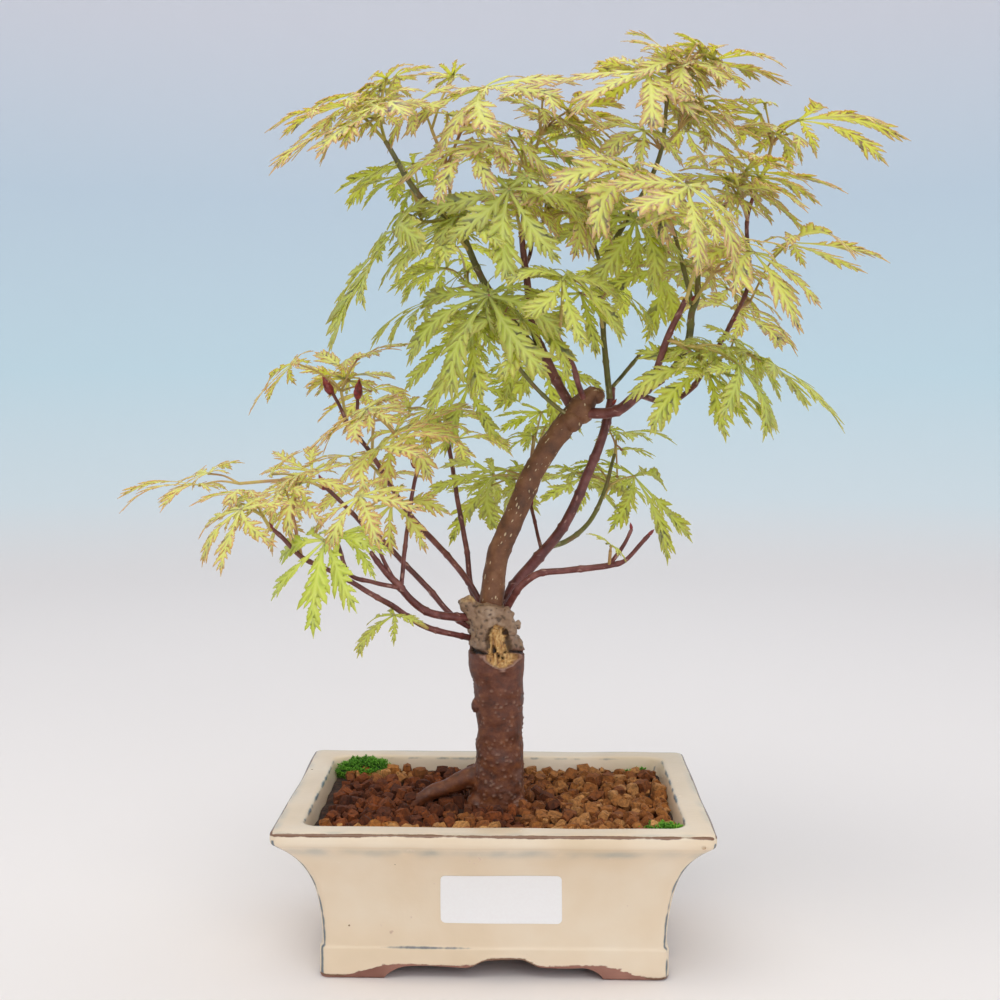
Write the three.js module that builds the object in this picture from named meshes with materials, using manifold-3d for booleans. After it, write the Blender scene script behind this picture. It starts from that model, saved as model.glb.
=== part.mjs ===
// Laceleaf maple bonsai in a glazed rectangular pot. Millimetres, +Z up.
// The origin is the middle of the pot's footprint, on the surface that it stands on.
import * as THREE from "three";
import { mergeVertices } from "three/addons/utils/BufferGeometryUtils.js";
import Module from "manifold-3d";

const wasm = await Module();
wasm.setup();

// Pot
const potLength = 180;
const potWidth = 130;
const potHeight = 67;
const rimWidth = 11.6;
const rimBand = 6;
const wallThickness = 6;
const bodyInset = 18;
const bodyCornerRadius = 4;
const cavityCornerRadius = 8;
const footBandHeight = 13.5;
const footFlare = 1;
const footLength = 27;
const footGapHeight = 5.5;
const archRise = 3;
const recessMargin = 6;
const recessDepth = 8.5;
const floorThickness = 5.5;
const drainDiameter = 15;
const drainFromEnd = 52;

// Drain mesh and the wire that clips it down
const meshSide = 28;
const meshThickness = 1;
const meshOpenings = 4;
const meshPitch = 6.2;
const meshBar = 1.8;
const wireRadius = 0.5;

// Soil, moss and label
const soilDepthBelowRim = 7;
const soilBump = 1.3;
const labelWidth = 50;
const labelHeight = 22;
const labelBottom = 24;
const labelShift = 3;
const labelThickness = 0.4;

// Tree
const petioleRadius = 0.55;
const leafThickness = 1.2;
const clearance = 0.3;

const soilLevel = potHeight - soilDepthBelowRim;
const floorTop = recessDepth + floorThickness;
const drainX = potLength / 2 - drainFromEnd;

// ---- solids ----

function solidOf(geometry) {
  const bare = geometry.index ? geometry.toNonIndexed() : geometry.clone();
  bare.deleteAttribute("normal");
  bare.deleteAttribute("uv");
  const merged = mergeVertices(bare, 1e-4);
  return new wasm.Manifold(
    new wasm.Mesh({
      numProp: 3,
      vertProperties: new Float32Array(merged.attributes.position.array),
      triVerts: new Uint32Array(merged.index.array),
    }),
  );
}

function geometryOf(solid) {
  const mesh = solid.getMesh();
  const geometry = new THREE.BufferGeometry();
  geometry.setAttribute("position", new THREE.BufferAttribute(mesh.vertProperties, 3));
  geometry.setIndex(new THREE.BufferAttribute(mesh.triVerts, 1));
  const flat = geometry.toNonIndexed();
  flat.computeVertexNormals();
  return flat;
}

function boxSolid(low, high) {
  const size = high.map((value, axis) => value - low[axis]);
  const box = new THREE.BoxGeometry(...size);
  box.translate(...low.map((value, axis) => value + size[axis] / 2));
  return solidOf(box);
}

function joined(solids) {
  return solids.reduce((whole, solid) => whole.add(solid));
}

function meshFromTriangles(triangles) {
  const geometry = new THREE.BufferGeometry();
  geometry.setAttribute("position", new THREE.Float32BufferAttribute(triangles.flat(2), 3));
  return solidOf(geometry);
}

// ---- pot ----

const rimHalf = [potLength / 2, potWidth / 2];

function roundedRing(halfX, halfY, radius, z) {
  const stepsPerCorner = 3;
  const ring = [];
  for (let corner = 0; corner < 4; corner++) {
    const centreX = (corner === 0 || corner === 3 ? 1 : -1) * (halfX - radius);
    const centreY = (corner < 2 ? 1 : -1) * (halfY - radius);
    for (let step = 0; step <= stepsPerCorner; step++) {
      const angle = ((corner + step / stepsPerCorner) * Math.PI) / 2;
      ring.push([centreX + radius * Math.cos(angle), centreY + radius * Math.sin(angle), z]);
    }
  }
  return ring;
}

// A stack of rings, each seen anticlockwise from above, closed by a cap at both ends.
function loft(rings) {
  const triangles = [];
  const count = rings[0].length;
  for (let level = 0; level + 1 < rings.length; level++) {
    for (let i = 0; i < count; i++) {
      const next = (i + 1) % count;
      const [a, b] = [rings[level][i], rings[level][next]];
      const [c, d] = [rings[level + 1][next], rings[level + 1][i]];
      triangles.push([a, b, c], [a, c, d]);
    }
  }
  const first = rings[0];
  const last = rings[rings.length - 1];
  const firstMiddle = [0, 0, first[0][2]];
  const lastMiddle = [0, 0, last[0][2]];
  for (let i = 0; i < count; i++) {
    const next = (i + 1) % count;
    triangles.push([firstMiddle, first[next], first[i]], [lastMiddle, last[i], last[next]]);
  }
  return meshFromTriangles(triangles);
}

function ringAt([z, inset], radius, grow = 0) {
  return roundedRing(rimHalf[0] - inset + grow, rimHalf[1] - inset + grow, radius, z);
}

// How far the outer wall stands in from the rim's edge at a height: a concave sweep under the rim band.
const wallBottom = footBandHeight;
const wallTop = potHeight - rimBand;

function wallInset(z) {
  const share = Math.min(Math.max((z - wallBottom) / (wallTop - wallBottom), 0), 1);
  const sweep = 0.5 * share ** 2 + 0.5 * share ** 5;
  return 0.8 + (bodyInset - 0.8) * (1 - sweep);
}

const outerHeights = [0, 0.3, 0.52, 0.68, 0.8, 0.9, 0.96].map(
  (share) => wallBottom + share * (wallTop - wallBottom),
);

// From the rim's inner edge down to the floor.
const cavityRows = [
  [floorTop, bodyInset + wallThickness + 1.5],
  [floorTop + 6, bodyInset + wallThickness - 0.5],
  [wallTop - 26, wallInset(wallTop - 26) + wallThickness],
  [wallTop - 12, wallInset(wallTop - 12) + wallThickness],
  [wallTop - 3, rimWidth + 2.2],
  [potHeight - 2.5, rimWidth + 0.7],
  [potHeight - 0.6, rimWidth],
];

function footSolid(shape, length, alongX) {
  const cut = new THREE.ExtrudeGeometry(shape, { depth: length, bevelEnabled: false });
  cut.translate(0, 0, -length / 2);
  cut.rotateX(Math.PI / 2);
  if (alongX) cut.rotateZ(Math.PI / 2);
  return solidOf(cut);
}

// The gap between two feet, with a raised step in the middle of the apron.
function footGap(halfSpan, rise) {
  const shape = new THREE.Shape();
  const halfStep = halfSpan * 0.62;
  shape.moveTo(-halfSpan, -1);
  shape.lineTo(halfSpan, -1);
  shape.lineTo(halfSpan - 3, footGapHeight);
  shape.lineTo(halfStep + rise, footGapHeight);
  if (rise > 0) shape.lineTo(halfStep, footGapHeight + rise);
  if (rise > 0) shape.lineTo(-halfStep, footGapHeight + rise);
  shape.lineTo(-halfStep - rise, footGapHeight);
  shape.lineTo(-halfSpan + 3, footGapHeight);
  shape.closePath();
  return shape;
}

function potSolid() {
  const footInset = bodyInset - footFlare;
  const outer = [
    ringAt([0, footInset + 0.6], bodyCornerRadius),
    ringAt([1.2, footInset], bodyCornerRadius),
    ringAt([footBandHeight - 0.6, footInset], bodyCornerRadius),
    ...outerHeights.map((z) => ringAt([z, wallInset(z)], bodyCornerRadius)),
    ringAt([wallTop, 0.8], bodyCornerRadius),
    ringAt([wallTop + 1, 0.1], bodyCornerRadius),
    ringAt([potHeight - 1.2, 0], bodyCornerRadius),
    ringAt([potHeight - 0.2, 0.8], bodyCornerRadius),
    ringAt([potHeight, 2.2], bodyCornerRadius),
    ringAt([potHeight, rimWidth - 1.2], cavityCornerRadius),
  ];
  const inner = cavityRows.toReversed().map((row) => ringAt(row, cavityCornerRadius));
  let pot = loft([...outer, ...inner]);
  const footHalf = rimHalf.map((half) => half - footInset);
  const recess = footHalf.map((half) => half - recessMargin);
  pot = pot.subtract(boxSolid([-recess[0], -recess[1], -1], [recess[0], recess[1], recessDepth]));
  pot = pot.subtract(footSolid(footGap(footHalf[0] - footLength, archRise), potWidth, false));
  pot = pot.subtract(footSolid(footGap(footHalf[1] - footLength + 4, 0), potLength, true));
  for (const side of [-1, 1]) {
    const hole = new THREE.CylinderGeometry(drainDiameter / 2, drainDiameter / 2, 3 * floorThickness, 20);
    hole.rotateX(Math.PI / 2);
    hole.translate(side * drainX, 0, floorTop - floorThickness / 2);
    pot = pot.subtract(solidOf(hole));
  }
  return pot;
}

function cavitySolid(shrink, top) {
  const rings = cavityRows.map((row, i) => {
    const z = row[0] + (i === 0 ? shrink : 0);
    return ringAt([z, row[1]], cavityCornerRadius, -shrink);
  });
  rings.push(ringAt([top, rimWidth], cavityCornerRadius, -shrink));
  return loft(rings);
}

// ---- drain mesh and wire ----

const meshBottom = floorTop + clearance;

function drainMesh(side) {
  const x = side * drainX;
  const half = meshSide / 2;
  const top = meshBottom + meshThickness;
  let plate = boxSolid([x - half, -half, meshBottom], [x + half, half, top]);
  const opening = (meshPitch - meshBar) / 2;
  for (let column = 0; column < meshOpenings; column++) {
    for (let row = 0; row < meshOpenings; row++) {
      const cx = x + (column - (meshOpenings - 1) / 2) * meshPitch;
      const cy = (row - (meshOpenings - 1) / 2) * meshPitch;
      const low = [cx - opening, cy - opening, meshBottom - 1];
      plate = plate.subtract(boxSolid(low, [cx + opening, cy + opening, top + 1]));
    }
  }
  return plate;
}

// A staple of wire: its bridge lies on the mesh and its legs spread under the pot's floor.
function drainWire(side) {
  const x = side * drainX;
  const y = meshPitch / 2;
  const bridge = meshBottom + meshThickness + clearance + wireRadius;
  const under = recessDepth - clearance - 1.2 * wireRadius;
  const leg = [
    [drainDiameter / 2 + 6, y, under],
    [drainDiameter / 2 - 0.8, y, under],
    [meshPitch / 2 + 1.4, y, recessDepth + 0.8],
    [meshPitch / 2 + 0.6, y, floorTop],
    [meshPitch / 2 + 0.4, y, bridge - 0.7],
    [meshPitch / 2 - 0.3, y, bridge],
  ];
  const points = [...leg, ...leg.toReversed().map(([px, py, pz]) => [-px, py, pz])];
  const route = points.map(([px, py, pz]) => [px + x, py, pz]);
  return tube({ points: route, radii: [wireRadius], sides: 6 });
}

// ---- soil, moss and label ----

function groundHeight(x, y) {
  const wave = Math.sin(x * 0.41 + 1.3) * Math.cos(y * 0.47) + 0.6 * Math.sin(x * 0.19 - y * 0.31);
  return soilLevel + soilBump * 0.7 * wave;
}

function groundBlock(lift) {
  const block = new THREE.BoxGeometry(potLength, potWidth, potHeight, 20, 14, 1);
  const position = block.attributes.position;
  for (let i = 0; i < position.count; i++) {
    const top = groundHeight(position.getX(i), position.getY(i)) + lift;
    position.setZ(i, position.getZ(i) > 0 ? top : 0);
  }
  return solidOf(block);
}

function soilSolid() {
  let soil = cavitySolid(clearance, potHeight + 5).intersect(groundBlock(0));
  const half = meshSide / 2 + clearance;
  const pocketTop = meshBottom + meshThickness + 2 * wireRadius + 3 * clearance;
  for (const side of [-1, 1]) {
    const x = side * drainX;
    soil = soil.subtract(boxSolid([x - half, -half, 0], [x + half, half, pocketTop]));
  }
  return soil.subtract(trunkSolid(clearance));
}

function mossSolid([x, y, z], [rx, ry, rz]) {
  const tuft = new THREE.SphereGeometry(1, 10, 6);
  const position = tuft.attributes.position;
  for (let i = 0; i < position.count; i++) {
    const point = new THREE.Vector3().fromBufferAttribute(position, i);
    const lump = 1 + 0.09 * Math.sin(5 * point.x + 2) * Math.cos(4 * point.y + z);
    point.multiplyScalar(lump);
    position.setXYZ(i, x + rx * point.x, y + ry * point.y, soilLevel + z + rz * point.z);
  }
  return solidOf(tuft)
    .intersect(cavitySolid(clearance, potHeight + 5))
    .subtract(groundBlock(clearance));
}

const cavityHalf = rimHalf.map((half) => half - rimWidth - 1.5);

const mossTufts = [
  { name: "moss_back_left", at: [-cavityHalf[0] + 12, cavityHalf[1] - 5, 1], size: [12, 6, 5.5] },
  { name: "moss_front_right", at: [cavityHalf[0] - 7, -cavityHalf[1] + 6, 0.5], size: [9, 6, 4.5] },
  { name: "moss_back_right", at: [cavityHalf[0] - 12, cavityHalf[1] - 4, 0.5], size: [6, 4, 4] },
];

// The blank label lies on the front wall and follows its curve.
function labelSolid() {
  const steps = 6;
  const wallY = (z) => rimHalf[1] - wallInset(z) + clearance;
  const heights = Array.from({ length: steps + 1 }, (_, i) => labelBottom + (labelHeight * i) / steps);
  const shape = new THREE.Shape([
    ...heights.map((z) => new THREE.Vector2(wallY(z), z)),
    ...heights.toReversed().map((z) => new THREE.Vector2(wallY(z) + labelThickness, z)),
  ]);
  const strip = new THREE.ExtrudeGeometry(shape, { depth: labelWidth, bevelEnabled: false });
  strip.translate(0, 0, -labelWidth / 2);
  strip.rotateX(Math.PI / 2);
  strip.rotateZ(-Math.PI / 2);
  strip.translate(labelShift, 0, 0);
  return solidOf(strip);
}

// ---- stems ----

// A round stem along a smooth curve, its radius going evenly from point to point.
function tube({ points, radii, sides = 6, steps = 1, grow = 0 }) {
  const path = points.map((point) => new THREE.Vector3(...point));
  const curve = new THREE.CatmullRomCurve3(path, false, "centripetal");
  const rows = (points.length - 1) * steps;
  const frames = [];
  let normal = new THREE.Vector3(0.31, 0.95, 0.04);
  for (let row = 0; row <= rows; row++) {
    const tangent = curve.getTangent(row / rows);
    normal = normal.clone().addScaledVector(tangent, -normal.dot(tangent)).normalize();
    const side = new THREE.Vector3().crossVectors(tangent, normal).normalize();
    frames.push({ centre: curve.getPoint(row / rows), tangent, normal, side });
  }
  frames[0].centre.addScaledVector(frames[0].tangent, -grow);
  frames[rows].centre.addScaledVector(frames[rows].tangent, grow);
  const radiusAt = (u) => {
    const place = u * (radii.length - 1);
    const i = Math.min(Math.floor(place), Math.max(radii.length - 2, 0));
    return radii[i] + ((radii[i + 1] ?? radii[i]) - radii[i]) * (place - i) + grow;
  };
  const pipe = new THREE.CylinderGeometry(1, 1, 1, sides, rows);
  const position = pipe.attributes.position;
  for (let i = 0; i < position.count; i++) {
    const u = 0.5 - position.getY(i);
    const frame = frames[Math.round(u * rows)];
    const point = frame.centre.clone();
    point.addScaledVector(frame.normal, position.getX(i) * radiusAt(u));
    point.addScaledVector(frame.side, position.getZ(i) * radiusAt(u));
    position.setXYZ(i, point.x, point.y, point.z);
  }
  return solidOf(pipe);
}

// Tree points are [x, y, height above the soil].
function onSoil(points) {
  return points.map(([x, y, z]) => [x, y, z + soilLevel]);
}

// The pruned lower trunk, with a surface root, the stub of a sawn shoot and the rotted-out wound.
const trunkStems = [
  {
    points: [
      [0, 0, -17], [-0.5, 0, -6], [-0.5, 0, 1], [-0.3, 0, 7], [0, 0, 17], [0, 0, 30], [0, 0, 44],
      [0, 0, 56], [-0.2, 0, 65], [-0.6, 0, 71], [-1.4, 0, 74.5], [-3, 0.5, 80], [-4.5, 1, 86], [-4.5, 1, 90],
    ],
    radii: [13.5, 13.3, 12.8, 12, 10.8, 10.2, 10.3, 11.3, 12.6, 12.3, 9.6, 9, 8.8, 7.6],
    sides: 16,
  },
  {
    points: [[-7, 0, 17], [-13, -1, 14.5], [-21, -3, 10.5], [-30, -5, 6.5], [-38, -7, 0], [-43, -8, -8]],
    radii: [5, 4.6, 3.8, 3.2, 2.8, 2.2],
    sides: 8,
  },
  { points: [[-8, -2, 84], [-11.5, -3, 89], [-14.2, -4, 93]], radii: [4, 3.8, 3.5], sides: 10 },
];

const wound = { centre: [0.8, -11, 73.5], size: [5.2, 5.5, 9] };

function trunkSolid(grow) {
  const stems = trunkStems.map((stem) => tube({ ...stem, points: onSoil(stem.points), grow }));
  const hollow = new THREE.SphereGeometry(1, 12, 8);
  hollow.scale(...wound.size.map((size) => size - grow));
  hollow.translate(wound.centre[0], wound.centre[1], wound.centre[2] + soilLevel);
  return joined(stems).subtract(solidOf(hollow));
}

// Each branch is one or more stems, and keeps clear of the branch or trunk that it grows from.
const branches = [
  {
    name: "leader",
    on: ["trunk"],
    colour: "bark_brown",
    stems: [{
      points: [
        [-3, 0.5, 86], [-2, 0.5, 96], [1, 1, 113], [9, 2, 132], [18, 3, 152], [30, 3, 169], [37, 3, 177],
        [43, 3, 184],
      ],
      radii: [5.4, 5.2, 4.9, 4.8, 4.7, 4.9, 5.6, 3.4],
      sides: 10,
    }],
  },
  {
    name: "secondary_stem",
    on: ["trunk", "leader"],
    colour: "bark_red",
    stems: [{
      points: [
        [-2, 5, 84], [4, 9, 90], [8, 11, 97], [19, 12, 110], [30, 13, 124], [40, 15, 146], [46, 16, 161],
        [50, 18, 176], [51, 20, 185],
      ],
      radii: [2.8, 2.8, 2.7, 2.5, 2.3, 2.2, 2.1, 2, 1.6],
      sides: 8,
    }],
  },
  {
    name: "low_right_branch",
    on: ["trunk", "leader"],
    colour: "bark_red",
    stems: [
      {
        points: [
          [0, -4, 85], [4, -7, 92], [9, -9, 99], [18, -11, 105], [31, -14, 107], [48, -20, 110], [54, -22, 112],
          [60, -26, 119], [64, -28, 124],
        ],
        radii: [1.7, 1.6, 1.6, 1.5, 1.4, 1.3, 1, 0.9, 0.8],
      },
      { points: [[48, -20, 110], [54, -22, 119], [57, -24, 126]], radii: [1, 0.8, 0.7] },
    ],
  },
  {
    name: "left_back_branch",
    on: ["trunk"],
    colour: "bark_red",
    stems: [{
      points: [[-6, 4, 86], [-11, 11, 93], [-14, 20, 111], [-19, 30, 135], [-23, 38, 157], [-26, 42, 168]],
      radii: [1.4, 1.3, 1.2, 1.1, 1, 0.8],
    }],
  },
  {
    name: "left_middle_branch",
    on: ["trunk"],
    colour: "bark_red",
    stems: [{
      points: [
        [-8, 3, 87], [-14, 7, 99], [-22, 14, 109], [-40, 22, 127], [-45, 24, 134], [-51, 28, 143],
        [-58, 30, 154], [-71, 34, 170],
      ],
      radii: [1.5, 1.4, 1.4, 1.3, 1.3, 1.2, 1.1, 0.9],
    }],
  },
  {
    name: "left_upper_branch",
    on: ["trunk"],
    colour: "bark_red",
    stems: [{
      points: [
        [-5, -2, 78], [-12, -6, 79.5], [-20, -4, 86], [-30, -2, 97], [-40, 0, 107], [-51, 2, 118], [-57, 4, 122],
        [-64, 6, 129], [-77, 10, 141],
      ],
      radii: [1.4, 1.4, 1.3, 1.3, 1.2, 1.2, 1.1, 1, 0.9],
    }],
  },
  {
    name: "left_arch",
    on: ["trunk"],
    colour: "bark_red",
    stems: [
      {
        points: [
          [-7, -5, 83], [-14, -10, 84], [-20, -13, 86], [-29, -18, 89], [-36, -22, 95], [-41, -26, 102],
          [-46, -30, 108], [-52, -34, 117],
        ],
        radii: [1.9, 1.8, 1.8, 1.7, 1.6, 1.6, 1.3, 1],
      },
      { points: [[-40, -25, 101], [-39, -24, 113], [-37, -20, 130], [-35, -16, 145], [-33, -14, 152]], radii: [1, 0.9, 0.8] },
      { points: [[-43, -28, 105], [-47, -32, 114], [-51, -38, 129]], radii: [0.9, 0.8, 0.8] },
      { points: [[-41, -26, 101], [-51, -32, 104], [-60, -38, 108], [-64, -44, 121]], radii: [1, 0.9, 0.9, 0.8] },
    ],
  },
  {
    name: "left_lower_branch",
    on: ["trunk"],
    colour: "bark_red",
    stems: [{
      points: [
        [-4, -6, 73], [-11, -11, 76], [-23, -18, 80], [-29, -22, 83], [-37, -28, 89], [-43, -32, 94],
        [-53, -38, 101], [-64, -45, 109], [-78, -51, 117], [-85, -54, 125], [-89, -56, 129],
      ],
      radii: [1.4, 1.4, 1.3, 1.3, 1.2, 1.2, 1.1, 1, 1, 0.9, 0.8],
    }],
  },
  {
    name: "crown_stem_left",
    on: ["leader"],
    colour: "bark_red",
    stems: [
      {
        points: [
          [34, 4, 174], [27, 8, 186], [21, 10, 198], [16, 8, 210], [13, 4, 229], [11, 2, 244], [10, 0, 252],
        ],
        radii: [2.3, 2.1, 2.3, 1.8, 1.6, 1.4, 1.1],
      },
      { points: [[12, 3, 238], [14, 8, 243], [15, 11, 250]], radii: [1, 0.9, 0.8] },
    ],
  },
  {
    name: "crown_branch_left",
    on: ["crown_stem_left"],
    colour: "bark_green",
    stems: [{
      points: [[21, 10, 197], [8, 4, 212], [-5, 0, 229], [-18, -6, 254], [-33, -10, 266], [-47, -14, 288]],
      radii: [1.6, 1.5, 1.5, 1.4, 1.3, 1],
    }],
  },
  {
    name: "crown_twig_front",
    on: ["leader"],
    colour: "bark_green",
    stems: [{ points: [[32, 2, 172], [24, -3, 178], [14, -7, 188], [3, -12, 202]], radii: [1, 0.9, 0.9, 0.8] }],
  },
  {
    name: "crown_twig_dark",
    on: ["leader"],
    colour: "bark_red",
    stems: [{ points: [[38, 2, 179], [35, -8, 186], [32, -12, 195], [26, -20, 206]], radii: [1.4, 1.3, 1.3, 0.9] }],
  },
  {
    name: "right_arch",
    on: ["leader", "crown_twig_dark"],
    colour: "bark_red",
    stems: [{
      points: [[37, 2, 174], [51, -6, 175], [61, -12, 183], [70, -16, 189]],
      radii: [2.4, 2.3, 2.4, 1.8],
    }],
  },
  {
    name: "right_stem_front",
    on: ["right_arch"],
    colour: "bark_red",
    stems: [{ points: [[66, -14, 187], [71, -26, 206], [77, -36, 221]], radii: [1.6, 1.4, 1.1] }],
  },
  {
    name: "right_stem_back",
    on: ["right_arch"],
    colour: "bark_green",
    stems: [
      {
        points: [[67, -14, 187], [76, -8, 194], [82, -4, 205], [84, 0, 218], [86, 1, 223], [87, 4, 239]],
        radii: [1.6, 1.6, 1.6, 1.5, 1.4, 1],
      },
      { points: [[84, 0, 221], [81, 6, 236], [78, 12, 250], [76, 16, 258]], radii: [1.1, 1, 0.9, 0.8] },
    ],
  },
  {
    name: "right_shoot",
    on: ["right_arch"],
    colour: "bark_red",
    stems: [{
      points: [
        [61, -12, 182], [74, -2, 179], [85, 6, 185], [93, 12, 196], [104, 21, 214], [113, 30, 233],
        [112, 30, 262], [120, 26, 285],
      ],
      radii: [1.3, 1.2, 1.2, 1.1, 1, 1, 0.9, 0.8],
    }],
  },
  {
    name: "crown_stem_middle",
    on: ["secondary_stem"],
    colour: "bark_green",
    stems: [
      {
        points: [
          [50, 18, 180], [47, 22, 211], [46, 20, 238], [55, 14, 256], [65, 8, 273], [70, 2, 287], [72, -2, 309],
        ],
        radii: [1.4, 1.3, 1.3, 1.2, 1.1, 1, 0.8],
      },
      { points: [[50, 19, 184], [58, 24, 193], [64, 27, 200]], radii: [0.9, 0.9, 0.8] },
      { points: [[46, 20, 238], [43, 23, 248], [42, 24, 256]], radii: [1, 0.9, 0.8] },
    ],
  },
  {
    name: "side_twig",
    on: ["secondary_stem"],
    colour: "bark_red",
    stems: [{ points: [[20, 12, 111], [18, 19, 119], [15, 26, 131]], radii: [0.9, 0.8, 0.8] }],
  },
  {
    name: "side_shoot",
    on: ["secondary_stem"],
    colour: "bark_green",
    stems: [{
      points: [[23, 12, 114], [31, 18, 116], [41, 26, 123], [48, 34, 135], [54, 42, 154]],
      radii: [1.3, 1.2, 1.1, 1, 0.8],
    }],
  },
];

function branchSolid(branch, grow) {
  return joined(branch.stems.map((stem) => tube({ ...stem, points: onSoil(stem.points), grow })));
}

// ---- leaves ----

// Lobe directions in the blade, in degrees from the main lobe, and their shares of its length.
const lobes = [
  [-122, 0.4], [-78, 0.74], [-38, 0.93], [0, 1], [38, 0.93], [78, 0.74], [122, 0.4],
];
const notchShare = 0.19;
const ridgeShare = 0.42;
const ridgeLiftShare = 0.03;
const droopShare = 0.12;

// A blade's main lobe runs from its base to its tip, and its upper face looks up and out of the crown.
function bladeFrame(at, tip) {
  const centre = new THREE.Vector3(...at);
  const along = new THREE.Vector3(...tip).sub(centre);
  const length = along.length();
  along.normalize();
  const outward = new THREE.Vector3(at[0], at[1], 0).normalize();
  const face = new THREE.Vector3(0, 0, 0.85).addScaledVector(outward, 0.5);
  const normal = face.addScaledVector(along, -face.dot(along)).normalize();
  const across = new THREE.Vector3().crossVectors(normal, along);
  return { centre, length, along, across, normal };
}

// A seven-lobed blade: each lobe is a ridged spearhead, and the side lobes droop below the main one.
function bladeSolid({ centre, length, along, across, normal }) {
  const place = (degrees, radius, height) => {
    const angle = (degrees * Math.PI) / 180;
    const point = centre.clone().addScaledVector(along, radius * Math.cos(angle));
    return point.addScaledVector(across, radius * Math.sin(angle)).addScaledVector(normal, height);
  };
  const hub = [1, -1].map((side) => place(0, 0, (side * leafThickness) / 2));
  const notches = lobes.map(([degrees], i) =>
    i === 0 ? place(180, 0.1 * length, 0) : place((degrees + lobes[i - 1][0]) / 2, notchShare * length, 0),
  );
  const triangles = [];
  lobes.forEach(([degrees, share], i) => {
    const reach = share * length;
    const droop = droopShare * reach * (1 - Math.cos((degrees * Math.PI) / 180));
    const end = place(degrees, reach, -droop);
    const [before, after] = [notches[i], notches[(i + 1) % lobes.length]];
    [1, -1].forEach((side, face) => {
      const lift = ridgeLiftShare * reach + 0.4 * side * leafThickness;
      const ridge = place(degrees, ridgeShare * reach, lift);
      const fan = [[hub[face], before, ridge], [hub[face], ridge, after], [before, end, ridge], [ridge, end, after]];
      fan.forEach(([a, b, c]) => triangles.push(side > 0 ? [a, b, c] : [a, c, b]));
    });
  });
  return meshFromTriangles(triangles.map((triangle) => triangle.map((point) => point.toArray())));
}

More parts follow.
